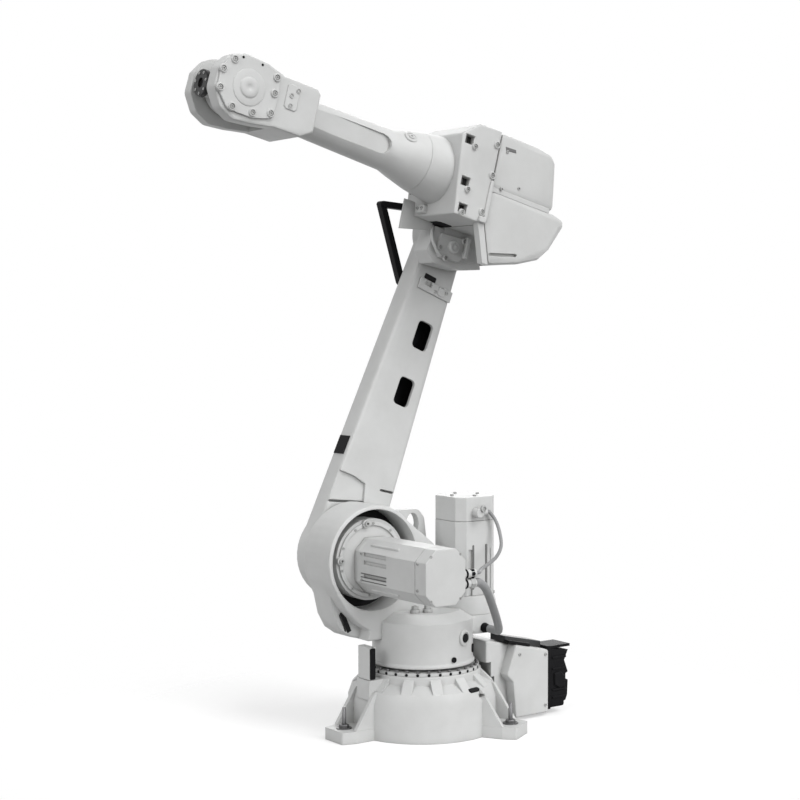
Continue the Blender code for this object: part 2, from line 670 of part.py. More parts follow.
def base_casting(base):
    """The round floor casting with its three feet and the ribbed cone round its neck."""
    profile = [(0.0, NECK_HEIGHT), (NECK_RADIUS - SMALL_EDGE, NECK_HEIGHT),
               (NECK_RADIUS, NECK_HEIGHT - SMALL_EDGE), (NECK_RADIUS, NECK_FOOT_HEIGHT),
               (SHOULDER_RADIUS, BASE_SHELF_HEIGHT), (SKIRT_RADIUS, SKIRT_HEIGHT), (SKIRT_RADIUS, 0.0),
               (0.0, 0.0)]
    casting = turned("base_casting", base, profile, sides=LARGE_ROUND_SIDES)
    pad, ribs, hole = base_foot(base)
    turn = 2 * math.pi / FOOT_COUNT
    for item in (pad, *ribs):
        join(casting, *turned_copies(item, FOOT_COUNT, step=turn))
    join(casting, *turned_copies(shelf_rib(base), BASE_RIB_COUNT, first_angle=BASE_RIB_START))
    boss = block("post_boss", base, (NECK_RADIUS - OVERRUN, POST_REACH + POST_DEPTH + SMALL_EDGE),
                 (POST_OFFSET - POST_WIDTH / 2 - SMALL_EDGE, POST_OFFSET + POST_WIDTH / 2 + SMALL_EDGE),
                 (BASE_SHELF_HEIGHT - OVERRUN, BASE_SHELF_HEIGHT + POST_BOSS_RISE))
    join(casting, boss)
    cut(casting, *turned_copies(hole, FOOT_COUNT, step=turn))
    slot = block("cable_slot", base, (SHOULDER_RADIUS - BASE_SLOT_DEPTH, SKIRT_RADIUS + OVERRUN),
                 (-BASE_SLOT_LENGTH / 2, BASE_SLOT_LENGTH / 2),
                 (BASE_SHELF_HEIGHT - BASE_SLOT_WIDTH * 2, BASE_SHELF_HEIGHT - BASE_SLOT_WIDTH))
    cut(casting, *turned_copies(slot, 1, first_angle=BASE_SLOT_ANGLE))
    return finish_part(casting, PAINT)


def bolt_ring(base):
    """The flat ring that clamps the first-axis bearing to the base."""
    low = NECK_HEIGHT + SEAT_GAP
    high = low + RING_THICKNESS
    profile = [(RING_INNER_RADIUS, high), (RING_RADIUS, high), (RING_RADIUS, low), (RING_INNER_RADIUS, low),
               (RING_INNER_RADIUS, high)]
    return finish_part(turned("base_bolt_ring", base, profile), PAINT)


def first_axis_bearing(base):
    """The bearing that carries the turning frame."""
    low = NECK_HEIGHT + SEAT_GAP
    bearing = rod("axis1_bearing", base, "Z", (0.0, 0.0), BEARING_RADIUS, low, DRUM_BASE_HEIGHT - SEAT_GAP)
    return finish_part(bearing, STEEL)


def stop_post(base):
    """The fixed post that the turning frame's stop meets, grooved down one side."""
    low = BASE_SHELF_HEIGHT + POST_BOSS_RISE + SEAT_GAP
    near = POST_OFFSET + POST_WIDTH / 2
    post = block("axis1_stop_post", base, (POST_REACH, POST_REACH + POST_DEPTH),
                 (near - POST_WIDTH, near), (low, POST_HEIGHT), SMALL_EDGE)
    groove = block("post_groove", base, (POST_REACH + POST_GROOVE, POST_REACH + POST_DEPTH - POST_GROOVE),
                   (near - POST_GROOVE, near + OVERRUN), (low + POST_GROOVE, POST_HEIGHT + OVERRUN))
    return finish_part(cut(post, groove), PAINT)


def housing_top(x):
    """The height of the connector housing's sloping top, at a place along X."""
    run = HOUSING_END - NECK_RADIUS
    return HOUSING_TOP_FRONT - (HOUSING_TOP_FRONT - HOUSING_TOP_REAR) * (-x - NECK_RADIUS) / run


def connector_housing(base):
    """The cast box behind the base: a wide rear part with a sloping shoulder, and a narrow neck."""
    start = -NECK_RADIUS - SEAT_GAP
    knee = -HOUSING_WIDE_FOOT
    wide = [(-HOUSING_END, HOUSING_BOTTOM), (-HOUSING_END, housing_top(-HOUSING_END)),
            (-HOUSING_WIDE_START, housing_top(-HOUSING_WIDE_START)), (knee, HOUSING_KNEE_HEIGHT + OVERRUN),
            (knee - OVERRUN, HOUSING_KNEE_HEIGHT), (-HOUSING_WIDE_START, HOUSING_BOTTOM)]
    back = -HOUSING_END + OVERRUN
    narrow = [(back, HOUSING_BOTTOM + SMALL_EDGE), (back, housing_top(back) - SMALL_EDGE),
              (start, housing_top(start) - SMALL_EDGE), (start, HOUSING_BOTTOM + SMALL_EDGE)]
    box = plate("connector_housing", base, wide, -HOUSING_HALF_WIDTH, HOUSING_HALF_WIDTH, edge=CASTING_EDGE)
    join(box, plate("housing_neck", base, narrow, -HOUSING_NECK_HALF_WIDTH, HOUSING_NECK_HALF_WIDTH,
                    edge=CASTING_EDGE))
    cut(box, rod("skirt_room", base, "Z", (0.0, 0.0), SKIRT_RADIUS + SEAT_GAP, -OVERRUN,
                 BASE_SHELF_HEIGHT + SEAT_GAP, sides=LARGE_ROUND_SIDES))
    cut(box, rod("rib_room", base, "Z", (0.0, 0.0), SHOULDER_RADIUS + SEAT_GAP, BASE_SHELF_HEIGHT,
                 NECK_HEIGHT + SEAT_GAP, sides=LARGE_ROUND_SIDES))
    return finish_part(box, PAINT)


def on_housing_top(name, base, start, end, y_low, y_high, thickness, edge):
    """A plate that lies on the housing's sloping top."""
    outline = [(-end, housing_top(-end) + SEAT_GAP), (-end, housing_top(-end) + SEAT_GAP + thickness),
               (-start, housing_top(-start) + SEAT_GAP + thickness),
               (-start, housing_top(-start) + SEAT_GAP)]
    return plate(name, base, outline, y_low, y_high, edge=edge)


def end_cover(base):
    """The black cover on the housing's end, with a roof over its connectors."""
    face = HOUSING_END + SEAT_GAP
    half = HOUSING_HALF_WIDTH - CASTING_EDGE
    roof = HOUSING_TOP_REAR + END_COVER_LIP
    cover = block("connector_end_cover", base, (-face - END_COVER_THICKNESS, -face), (-half, half),
                  (HOUSING_BOTTOM + CASTING_EDGE, roof), SMALL_EDGE)
    join(cover, block("cover_roof", base, (-END_ROOF_REACH, -face - SMALL_EDGE),
                      (END_ROOF_FAR, half - SMALL_EDGE), (roof - END_COVER_LIP, roof - SMALL_EDGE / 2)))
    return finish_part(cover, BLACK)


def power_connector(base):
    """The large rear connector, with level grooves round its sides."""
    seat = HOUSING_END + 2 * SEAT_GAP + END_COVER_THICKNESS
    low = HOUSING_BOTTOM + CASTING_EDGE + SMALL_EDGE
    high = low + POWER_CONNECTOR_HEIGHT
    plug = block("power_connector", base, (-CONNECTOR_END, -seat),
                 (POWER_CONNECTOR_NEAR - POWER_CONNECTOR_WIDTH, POWER_CONNECTOR_NEAR), (low, high),
                 CASTING_EDGE)
    for share in POWER_GROOVE_SHARES:
        level = low + POWER_CONNECTOR_HEIGHT * share
        cut(plug, block("plug_groove", base, (-CONNECTOR_END - OVERRUN, -CONNECTOR_END + POWER_GROOVE),
                        (-HOUSING_HALF_WIDTH, 2 * HOUSING_HALF_WIDTH), (level, level + POWER_GROOVE)))
        cut(plug, block("plug_side_groove", base, (-CONNECTOR_END - OVERRUN, -seat - POWER_GROOVE),
                        (POWER_CONNECTOR_NEAR - SMALL_EDGE, POWER_CONNECTOR_NEAR + OVERRUN),
                        (level, level + POWER_GROOVE)))
    return finish_part(plug, BLACK)


def connector_covers(base):
    """The dark plate on the housing's top, the signal connectors and the cable clamp."""
    top = on_housing_top("connector_top_plate", base, TOP_PLATE_START, HOUSING_END, TOP_PLATE_FAR,
                         TOP_PLATE_NEAR, TOP_PLATE_THICKNESS, SMALL_EDGE)
    finish_part(top, DARK_PAINT)
    seat = HOUSING_END + 2 * SEAT_GAP + END_COVER_THICKNESS
    middle = HOUSING_TOP_REAR / 2
    for index, side in enumerate((-1, 1)):
        level = middle + side * SIGNAL_CONNECTOR_SPACING / 2
        plug = rod("signal_connector_" + str(index + 1), base, "X", (-SIGNAL_CONNECTOR_OFFSET, level),
                   SIGNAL_CONNECTOR_RADIUS, -CONNECTOR_END, -seat, sides=SMALL_ROUND_SIDES)
        finish_part(plug, BLACK)
    near = HOUSING_HALF_WIDTH - CASTING_EDGE - SMALL_EDGE
    clamp = on_housing_top("top_cable_clamp", base, CLAMP_START, CLAMP_START + CLAMP_LENGTH,
                           near - CLAMP_WIDTH, near, CLAMP_HEIGHT, SMALL_EDGE)
    finish_part(clamp, BLACK)


def frame_plate(name, frame, front_shares, first_angle, low, high):
    """One layer of the frame's side view: its front edge, the ring, and the slope to the motor shelf."""
    centre = (SHOULDER_FORWARD, SHOULDER_HEIGHT)
    rear = -(MOTOR_ONE_REACH - REAR_LOBE_RADIUS) + 2 * SEAT_GAP
    outline = shared(front_shares, RING_OUTER_RADIUS, SHOULDER_HEIGHT - FRAME_UNDERSIDE, centre)
    outline += arc(centre, RING_OUTER_RADIUS, first_angle, RING_REAR)
    outline += shared([REAR_SLOPE_SHARES], RING_OUTER_RADIUS, centre=centre)
    outline += [(rear, SHOULDER_HEIGHT), (rear, REAR_LOBE_BOTTOM)]
    return plate(name, frame, outline, low, high, edge=CASTING_EDGE)


def frame_casting(frame):
    """The turning frame: drum, shoulder ring with its deep bore, rear shelf for the first motor."""
    centre = (SHOULDER_FORWARD, SHOULDER_HEIGHT)
    web = frame_plate("frame_casting", frame, WEB_FRONT_SHARES, WEB_START, FRAME_FAR_FACE, FRAME_WEB_FACE)
    ring = frame_plate("shoulder_ring", frame, RING_FRONT_SHARES, RING_START, FRAME_FAR_FACE + CASTING_EDGE,
                       FRAME_NEAR_FACE)
    drum = turned("drum", frame, [(0.0, DRUM_CROWN), (DRUM_CROWN_RADIUS, DRUM_CROWN),
                                  (DRUM_RADIUS, DRUM_TOP),
                                  (DRUM_RADIUS, DRUM_BASE_HEIGHT + DRUM_LIP_HEIGHT),
                                  (DRUM_LIP_RADIUS, DRUM_BASE_HEIGHT + DRUM_LIP_HEIGHT / 2),
                                  (DRUM_LIP_RADIUS, DRUM_BASE_HEIGHT), (0.0, DRUM_BASE_HEIGHT)])
    lobe = rod("motor_shelf", frame, "Z", (-MOTOR_ONE_REACH, 0.0), REAR_LOBE_RADIUS, REAR_LOBE_BOTTOM,
               MOTOR_ONE_SEAT)
    bridge = block("shelf_bridge", frame, (-MOTOR_ONE_REACH, 0.0),
                   (-REAR_LOBE_RADIUS + SMALL_EDGE, REAR_LOBE_RADIUS - SMALL_EDGE),
                   (REAR_LOBE_BOTTOM + SMALL_EDGE, MOTOR_ONE_SEAT - SMALL_EDGE), CASTING_EDGE)
    seat = rod("arm_seat", frame, "Y", centre, SHOULDER_SEAT_RADIUS, ARM_NEAR_FACE + SEAT_GAP,
               FRAME_FAR_FACE + OVERRUN)
    boss = turned_about_z(rod("plug_boss", frame, "X", (0.0, MAIN_PLUG_HEIGHT), MAIN_PLUG_BOSS,
                              DRUM_RADIUS - OVERRUN,
                              DRUM_RADIUS + PLUG_SEAT_STAND, sides=SMALL_ROUND_SIDES), MAIN_PLUG_ANGLE)
    join(web, ring, drum, lobe, bridge, seat, boss, lifting_lug(frame))
    bore = rod("gear_bore", frame, "Y", centre, RING_BORE_RADIUS, FRAME_NEAR_FACE - RING_BORE_DEPTH,
               FRAME_NEAR_FACE + OVERRUN, sides=LARGE_ROUND_SIDES)
    room = rod("flange_room", frame, "Z", (-MOTOR_ONE_REACH, 0.0), REAR_LOBE_RADIUS - SMALL_EDGE + SEAT_GAP,
               MOTOR_ONE_SEAT, DRUM_CROWN + OVERRUN)
    cut(web, bore, room, web_slot(frame))
    return finish_part(web, PAINT)


def web_slot(frame):
    """The slanted slot in the front of the web."""
    middle = shared([WEB_SLOT_SHARES], RING_OUTER_RADIUS, SHOULDER_HEIGHT - FRAME_UNDERSIDE,
                    (SHOULDER_FORWARD, SHOULDER_HEIGHT))[0]
    reach = WEB_SLOT_LENGTH / 2 - WEB_SLOT_WIDTH / 2
    step = (reach * math.sin(WEB_SLOT_LEAN), reach * math.cos(WEB_SLOT_LEAN))
    outline = capsule((middle[0] - step[0], middle[1] - step[1]),
                      (middle[0] + step[0], middle[1] + step[1]),
                      WEB_SLOT_WIDTH / 2)
    return plate("web_slot", frame, outline, FRAME_WEB_FACE - WEB_SLOT_DEPTH, FRAME_WEB_FACE + OVERRUN / 2)


def lifting_lug(frame):
    """The lifting eye cast on the shoulder: a plate with an oval hole."""
    centre = shared([LUG_CENTRE_SHARES], RING_OUTER_RADIUS, centre=(SHOULDER_FORWARD, SHOULDER_HEIGHT))[0]
    outer_x, outer_z = LUG_HOLE_HALF_WIDTH + LUG_WALL, LUG_HOLE_HALF_HEIGHT + LUG_WALL / 2
    corners = [(outer_x + LUG_ROOT / 2, outer_z - LUG_WALL), (outer_x, outer_z), (-outer_x / 2, outer_z),
               (-outer_x, LUG_HOLE_HALF_HEIGHT / 2), (-outer_x - LUG_WALL / 2, -outer_z - LUG_WALL),
               (LUG_HOLE_HALF_WIDTH, -LUG_ROOT)]
    outline = rounded(moved(corners, *centre), [0.0, 0.0, LUG_CORNER, LUG_CORNER, SMALL_EDGE, 0.0])
    lug = plate("lifting_lug", frame, outline, LUG_FAR, LUG_NEAR)
    angles = [2 * math.pi * step / SMALL_ROUND_SIDES for step in range(SMALL_ROUND_SIDES)]
    hole = [(LUG_HOLE_HALF_WIDTH * math.cos(angle),
             LUG_HOLE_HALF_HEIGHT * math.sin(angle)) for angle in angles]
    cut(lug, plate("lug_hole", frame, moved(hole, *centre), LUG_FAR - OVERRUN, LUG_NEAR + OVERRUN))
    return lug


def drum_plugs(frame):
    """The black plugs in the drum's side, and the rubber grommet that the motor cables enter."""
    seat = DRUM_RADIUS + PLUG_SEAT_STAND + SEAT_GAP
    main = rod("drum_plug_main", frame, "X", (0.0, MAIN_PLUG_HEIGHT), MAIN_PLUG_RADIUS, seat,
               seat + PLUG_STAND,
               sides=SMALL_ROUND_SIDES)
    finish_part(turned_about_z(main, MAIN_PLUG_ANGLE), BLACK)
    seat = DRUM_RADIUS + SEAT_GAP
    stretch = OBLONG_PLUG_STRETCH / 2
    outline = capsule((0.0, OBLONG_PLUG_HEIGHT - stretch), (0.0, OBLONG_PLUG_HEIGHT + stretch),
                      OBLONG_PLUG_RADIUS)
    oblong = plate("drum_plug_oblong", frame, outline, seat, seat + PLUG_STAND, "YZ")
    finish_part(turned_about_z(oblong, OBLONG_PLUG_ANGLE), BLACK)
    small = rod("drum_plug_small", frame, "X", (0.0, SMALL_PLUG_HEIGHT), SMALL_PLUG_RADIUS, seat,
                seat + PLUG_STAND,
                sides=PLUG_SIDES)
    finish_part(turned_about_z(small, SMALL_PLUG_ANGLE), BLACK)
    grommet = rod("cable_grommet", frame, "Y", (-MOTOR_ONE_REACH, GROMMET_HEIGHT), GROMMET_RADIUS,
                  REAR_LOBE_RADIUS + SEAT_GAP, REAR_LOBE_RADIUS + GROMMET_LENGTH,
                  GROMMET_RADIUS * GROMMET_TIP_SHARE,
                  sides=SMALL_ROUND_SIDES)
    finish_part(grommet, BLACK)


def chamfered_square(half_a, half_b, chamfer):
    """An oblong outline with its corners cut off."""
    return [(half_a, chamfer - half_b), (half_a, half_b - chamfer), (half_a - chamfer, half_b),
            (chamfer - half_a, half_b), (-half_a, half_b - chamfer), (-half_a, chamfer - half_b),
            (chamfer - half_a, -half_b), (half_a - chamfer, -half_b)]


def moved(outline, a, b):
    return [(x + a, y + b) for x, y in outline]


def first_motor(frame):
    """The first-axis motor, upright on the rear shelf: flange, finned body, cap and connector."""
    reach = -MOTOR_ONE_REACH
    low = MOTOR_ONE_SEAT + SEAT_GAP
    flange = turned("axis1_motor_flange", frame,
                    [(0.0, MOTOR_ONE_FLANGE_TOP), (REAR_LOBE_RADIUS - 4 * SMALL_EDGE, MOTOR_ONE_FLANGE_TOP),
                     (REAR_LOBE_RADIUS - SMALL_EDGE, MOTOR_ONE_FLANGE_TOP - OVERRUN),
                     (REAR_LOBE_RADIUS - SMALL_EDGE, low), (0.0, low)], centre=(reach, 0.0))
    finish_part(flange, PAINT)
    section = moved(chamfered_square(MOTOR_ONE_HALF, MOTOR_ONE_HALF, MOTOR_ONE_CHAMFER), reach, 0.0)
    foot = MOTOR_ONE_FLANGE_TOP + SEAT_GAP
    split = foot + MOTOR_ONE_BODY
    body = plate("axis1_motor", frame, section, foot, split, "XY")
    side = MOTOR_ONE_HALF - MOTOR_FIN_DEPTH
    fins = [block("motor_fin_groove", frame, (reach + x - MOTOR_FIN_WIDTH / 2,
                                              reach + x + MOTOR_FIN_WIDTH / 2),
                  (side, MOTOR_ONE_HALF + OVERRUN), (foot - OVERRUN,
                                                     foot + MOTOR_ONE_BODY * MOTOR_FIN_SHARE))
            for x in (-MOTOR_FIN_SPACING / 2, MOTOR_FIN_SPACING / 2)]
    finish_part(cut(body, *fins), PAINT)
    cap = plate("axis1_motor_cap", frame, section, split + SEAT_GAP, split + MOTOR_ONE_CAP, "XY",
                SMALL_EDGE)
    finish_part(cap, PAINT)
    level = split + MOTOR_PLUG_LEVEL
    near = MOTOR_ONE_HALF + SEAT_GAP
    plug = rod("axis1_motor_connector", frame, "Y", (reach + MOTOR_PLUG_OFFSET, level), MOTOR_PLUG_RADIUS,
               near,
               near + MOTOR_PLUG_LENGTH, sides=SMALL_ROUND_SIDES)
    elbow = rod("plug_elbow", frame, "X", (near + MOTOR_PLUG_LENGTH - MOTOR_PLUG_RADIUS, level),
                MOTOR_PLUG_RADIUS * PLUG_ELBOW_SHARE,
                reach - MOTOR_PLUG_OFFSET, reach + MOTOR_PLUG_OFFSET, sides=PLUG_SIDES)
    finish_part(join(plug, elbow), PAINT)


def axis_two_drive(frame):
    """Gear housing and motor of the second axis, with the motor's cap and connectors."""
    floor = FRAME_NEAR_FACE - RING_BORE_DEPTH + SEAT_GAP
    centre = (SHOULDER_FORWARD, SHOULDER_HEIGHT)
    step = GEAR_FACE - GEAR_RIM_HEIGHT
    gear = rod("axis2_gear_cover", frame, "Y", centre, GEAR_RADIUS, floor, step)
    rim = rod("gear_rim", frame, "Y", centre, GEAR_RIM_RADIUS, step - OVERRUN, GEAR_FACE)
    hollow = rod("rim_hollow", frame, "Y", centre, GEAR_RIM_RADIUS - GEAR_RIM_WALL, step,
                 GEAR_FACE + OVERRUN)
    middle = (centre[0] + MOTOR_TWO_CENTRE[0], centre[1] + MOTOR_TWO_CENTRE[1])
    seat = step - SMALL_EDGE / 2
    room = moved(chamfered_square(MOTOR_TWO_HALF_WIDTH + SEAT_GAP, MOTOR_TWO_HALF_HEIGHT + SEAT_GAP,
                                  MOTOR_TWO_CHAMFER), *middle)
    join(gear, rim)
    cut(gear, hollow, plate("motor_room", frame, room, seat, GEAR_FACE + OVERRUN))
    ring = GEAR_RADIUS - GEAR_BOSS_RADIUS
    for angle in GEAR_BOSS_ANGLES:
        spot = (centre[0] + ring * math.cos(angle), centre[1] + ring * math.sin(angle))
        join(gear, rod("gear_boss", frame, "Y", spot, GEAR_BOSS_RADIUS, step - OVERRUN,
                       step + GEAR_BOSS_HEIGHT,
                       sides=PLUG_SIDES))
    finish_part(gear, PAINT)
    section = moved(chamfered_square(MOTOR_TWO_HALF_WIDTH, MOTOR_TWO_HALF_HEIGHT, MOTOR_TWO_CHAMFER),
                    *middle)
    body = plate("axis2_motor", frame, section, seat + SEAT_GAP, MOTOR_TWO_SPLIT)
    front = middle[0] + MOTOR_TWO_HALF_WIDTH
    for share in MOTOR_GROOVE_LEVEL_SHARES:
        level = middle[1] + MOTOR_TWO_HALF_HEIGHT * share
        cut(body, block("motor_groove", frame, (front - MOTOR_GROOVE_DEPTH, front + OVERRUN),
                        (MOTOR_GROOVE_START, MOTOR_GROOVE_START + MOTOR_GROOVE_LENGTH),
                        (level, level + MOTOR_GROOVE_HEIGHT)))
    finish_part(body, PAINT)
    cap_low = MOTOR_TWO_SPLIT + SEAT_GAP
    cap = plate("axis2_motor_cap", frame, section, cap_low, cap_low + MOTOR_TWO_CAP, edge=SMALL_EDGE)
    finish_part(cap, PAINT)
    rear = middle[0] - MOTOR_TWO_HALF_WIDTH - SEAT_GAP
    for name, share in zip(("axis2_power_connector", "axis2_signal_connector"),
                           MOTOR_TWO_PLUG_LEVEL_SHARES):
        spot = (cap_low + MOTOR_TWO_CAP / 2, middle[1] + MOTOR_TWO_HALF_HEIGHT * share)
        plug = rod(name, frame, "X", spot, MOTOR_TWO_PLUG_RADIUS, rear - 2 * MOTOR_PLUG_LENGTH, rear,
                   sides=SMALL_ROUND_SIDES)
        finish_part(plug, PAINT)


def motor_cables(frame):
    """The two cables between the motors' connectors and the grommet."""
    cable("axis1_motor_cable", frame, MOTOR_ONE_CABLE, MOTOR_CABLE_RADIUS, CABLE)
    cable("axis2_motor_cable", frame, MOTOR_TWO_CABLE, MOTOR_HOSE_RADIUS, CABLE)


def arm_side(along):
    """Half the lower arm's width at a distance along it."""
    return ARM_ROOT_HALF_WIDTH + (ARM_HEAD_HALF_WIDTH - ARM_ROOT_HALF_WIDTH) * along / LOWER_ARM_LENGTH


def arm_windows(arm):
    """The two windows through the column's near wall."""
    half = ARM_OPENING_WIDTH / 2
    reach = ARM_OPENING_LENGTH / 2
    windows = []
    for middle in ARM_OPENING_MIDDLES:
        corners = [(-ARM_CENTRE - half, middle - reach), (half - ARM_CENTRE, middle - reach),
                   (half - ARM_CENTRE, middle + reach), (-ARM_CENTRE - half, middle + reach)]
        windows.append(plate("arm_window", arm, rounded(corners, ARM_OPENING_CORNER),
                             ARM_NEAR_FACE - 2 * ARM_WALL,
                             ARM_NEAR_FACE + OVERRUN))
    return windows


def arm_recesses(arm):
    """The cast pocket above the lower hub, the deep slot under it and the short slot behind."""
    pocket = shared(ARM_POCKET_SHARES, ARM_HUB_RADIUS)
    slot = shared(ARM_SLOT_SHARES, ARM_HUB_RADIUS)
    tick = shared(ARM_TICK_SHARES, ARM_HUB_RADIUS)
    return [plate("arm_pocket", arm, pocket, ARM_NEAR_FACE - ARM_POCKET_DEPTH, ARM_NEAR_FACE + OVERRUN),
            plate("arm_slot", arm, capsule(*slot, ARM_SLOT_HEIGHT / 2, 2), ARM_NEAR_FACE - ARM_SLOT_DEPTH,
                  ARM_NEAR_FACE + OVERRUN + SMALL_EDGE),
            plate("arm_tick", arm, capsule(*tick, ARM_SLOT_HEIGHT / 2, 2), ARM_NEAR_FACE - ARM_SLOT_DEPTH,
                  ARM_NEAR_FACE + OVERRUN)]


def lower_arm_casting(arm):
    """The lower arm: a hollow tapered column between two round hubs, open through its near face."""
    column = [(ARM_CENTRE + side * arm_side(along), along)
              for side, along in ((1, 0.0), (1, LOWER_ARM_LENGTH), (-1, LOWER_ARM_LENGTH), (-1, 0.0))]
    casting = plate("lower_arm_casting", arm, column, COLUMN_FAR_FACE, COLUMN_NEAR_FACE,
                    edge=2 * CASTING_EDGE)
    foot = rod("arm_foot", arm, "Y", (0.0, 0.0), ARM_HUB_RADIUS, ARM_FAR_FACE, ARM_NEAR_FACE,
               edge=CASTING_EDGE)
    head = rod("arm_head", arm, "Y", (0.0, LOWER_ARM_LENGTH), ARM_TOP_RADIUS, ARM_FAR_FACE, ARM_NEAR_FACE,
               edge=CASTING_EDGE)
    join(casting, foot, head)
    inner = [(ARM_CENTRE + side * (arm_side(along) - ARM_WALL), along)
             for side, along in ((1, ARM_CAVITY_LOW), (1, ARM_CAVITY_HIGH), (-1, ARM_CAVITY_HIGH),
                                 (-1, ARM_CAVITY_LOW))]
    cut(casting, plate("arm_cavity", arm, inner, COLUMN_FAR_FACE + ARM_WALL, COLUMN_NEAR_FACE - ARM_WALL))
    cut(casting, *arm_windows(arm), *arm_recesses(arm))
    return finish_part(casting, PAINT)


def arm_covers(arm):
    """The round covers on the outer side, the plug in the front face and the clip under the elbow."""
    for name, along, radius in (("lower_hub_cover", 0.0, LOWER_HUB_COVER_RADIUS),
                                ("elbow_hub_cover", LOWER_ARM_LENGTH, ELBOW_HUB_COVER_RADIUS)):
        low = ARM_FAR_FACE - SEAT_GAP - ARM_COVER_THICKNESS
        cover = rod(name, arm, "Y", (0.0, along), radius, low, ARM_FAR_FACE - SEAT_GAP)
        finish_part(soften(cover, SMALL_EDGE, 1), PAINT)
    lean = math.atan((ARM_ROOT_HALF_WIDTH - ARM_HEAD_HALF_WIDTH) / LOWER_ARM_LENGTH)
    front = ARM_CENTRE + arm_side(FRONT_PLUG_ALONG) + SEAT_GAP
    middle = (ARM_FAR_FACE + ARM_NEAR_FACE) / 2
    plug = block("arm_front_plug", arm, (0.0, FRONT_PLUG_STAND),
                 (-FRONT_PLUG_WIDTH / 2, FRONT_PLUG_WIDTH / 2),
                 (-FRONT_PLUG_LENGTH / 2, FRONT_PLUG_LENGTH / 2))
    plug.data.transform(Matrix.Translation((front, middle, FRONT_PLUG_ALONG)) @ Matrix.Rotation(-lean, 4,
                                                                                                "Y"))
    finish_part(plug, BLACK)
    low = COLUMN_NEAR_FACE + SEAT_GAP
    half = CLIP_WIDTH / 2
    middle = LOWER_ARM_LENGTH - CLIP_DROP
    clip = block("arm_cable_clip", arm, (-half, half), (low, low + CLIP_THICKNESS),
                 (middle - CLIP_LENGTH / 2, middle + CLIP_LENGTH / 2), SMALL_EDGE)
    for x in (-CLIP_NOTCH, half - 2 * CLIP_NOTCH):
        cut(clip, block("clip_notch", arm, (x - CLIP_NOTCH / 2, x + CLIP_NOTCH / 2),
                        (low - OVERRUN, low + OVERRUN),
                        (middle, middle + CLIP_LENGTH)))
    finish_part(clip, PAINT)


def hose_guide(arm):
    """The black bent bar on the lower arm's outer side, on two feet."""
    high = ARM_FAR_FACE - SEAT_GAP - GUIDE_STANDOFF
    low = high - GUIDE_THICKNESS
    half = GUIDE_WIDTH / 2
    top, corner, tip = moved([GUIDE_TOP, GUIDE_CORNER, GUIDE_TIP], 0.0, LOWER_ARM_LENGTH)
    bar = plate("hose_guide", arm, capsule(top, corner, half), low, high)
    leg = plate("guide_leg", arm, capsule(corner, tip, half), low + SMALL_EDGE / 2, high - SMALL_EDGE / 2)
    feet = [rod("guide_foot", arm, "Y", spot, GUIDE_FOOT_RADIUS, high - SMALL_EDGE * 2, seat - SEAT_GAP,
                sides=PLUG_SIDES) for spot, seat in ((top, ARM_FAR_FACE), (tip, COLUMN_FAR_FACE))]
    return finish_part(join(bar, leg, *feet), BLACK)


def flange_pockets(house):
    """The bolt pockets down the front of the elbow's side flange."""
    chin = HOUSE_FRONT * CASTING_CHIN_SHARE
    pockets = []
    for level in FLANGE_POCKET_LEVELS:
        share = (level - HOUSE_FRONT_BOTTOM) / (HOUSE_TOP * CASTING_TOP_SHARES[1][1] - HOUSE_FRONT_BOTTOM)
        front = chin + (HOUSE_FRONT - chin) * share - FLANGE_POCKET_INSET
        half = FLANGE_POCKET_HEIGHT / 2
        pockets.append(block("flange_pocket", house, (front - FLANGE_POCKET_LENGTH, front),
                             (HOUSE_NEAR_FACE - FLANGE_POCKET_DEPTH, HOUSE_NEAR_FACE + OVERRUN),
                             (level - half, level + half)))
    return pockets


def elbow_housing(house):
    """The elbow casting: side flange, round neck for the forearm, and the strip down beside the gear."""
    outline = [(HOUSE_SPLIT, HOUSE_TOP)] + shared(CASTING_TOP_SHARES, HOUSE_FRONT, HOUSE_TOP)
    outline += [(HOUSE_FRONT * CASTING_CHIN_SHARE, HOUSE_FRONT_BOTTOM), (HOUSE_SPLIT, HOUSE_FRONT_BOTTOM)]
    casting = plate("elbow_casting", house, outline, HOUSE_FAR_FACE, HOUSE_NEAR_FACE, edge=CASTING_EDGE)
    neck = rod("forearm_neck", house, "X", (0.0, ELBOW_RISE), NECK_ROOT_RADIUS, NECK_ROOT, NECK_SEAM,
               NECK_SEAM_RADIUS)
    overlap = HOUSE_FRONT_BOTTOM + OVERRUN
    strip = [(HOUSE_SPLIT + SMALL_EDGE, overlap), (HOUSE_SPLIT + STRIP_WIDTH, overlap),
             (HOUSE_SPLIT + STRIP_WIDTH, HOUSE_FRONT_BOTTOM),
             (HOUSE_SPLIT + STRIP_WIDTH - STRIP_LEAN, HOUSE_BOTTOM),
             (HOUSE_SPLIT - STRIP_LEAN, HOUSE_BOTTOM),
             (HOUSE_SPLIT, HOUSE_FRONT_BOTTOM)]
    join(casting, neck, plate("side_strip", house, strip, HOUSE_NEAR_FACE - HOUSE_WALL,
                              HOUSE_NEAR_FACE - SMALL_EDGE))
    cut(casting, gear_room(house), *flange_pockets(house))
    return finish_part(casting, PAINT)


def gear_room(house):
    """The round space that the third-axis gear housing fills."""
    return rod("gear_room", house, "Y", (0.0, 0.0), GEAR_THREE_RADIUS + SEAT_GAP, HOUSE_FAR_FACE - OVERRUN,
               GEAR_THREE_FACE + SEAT_GAP)


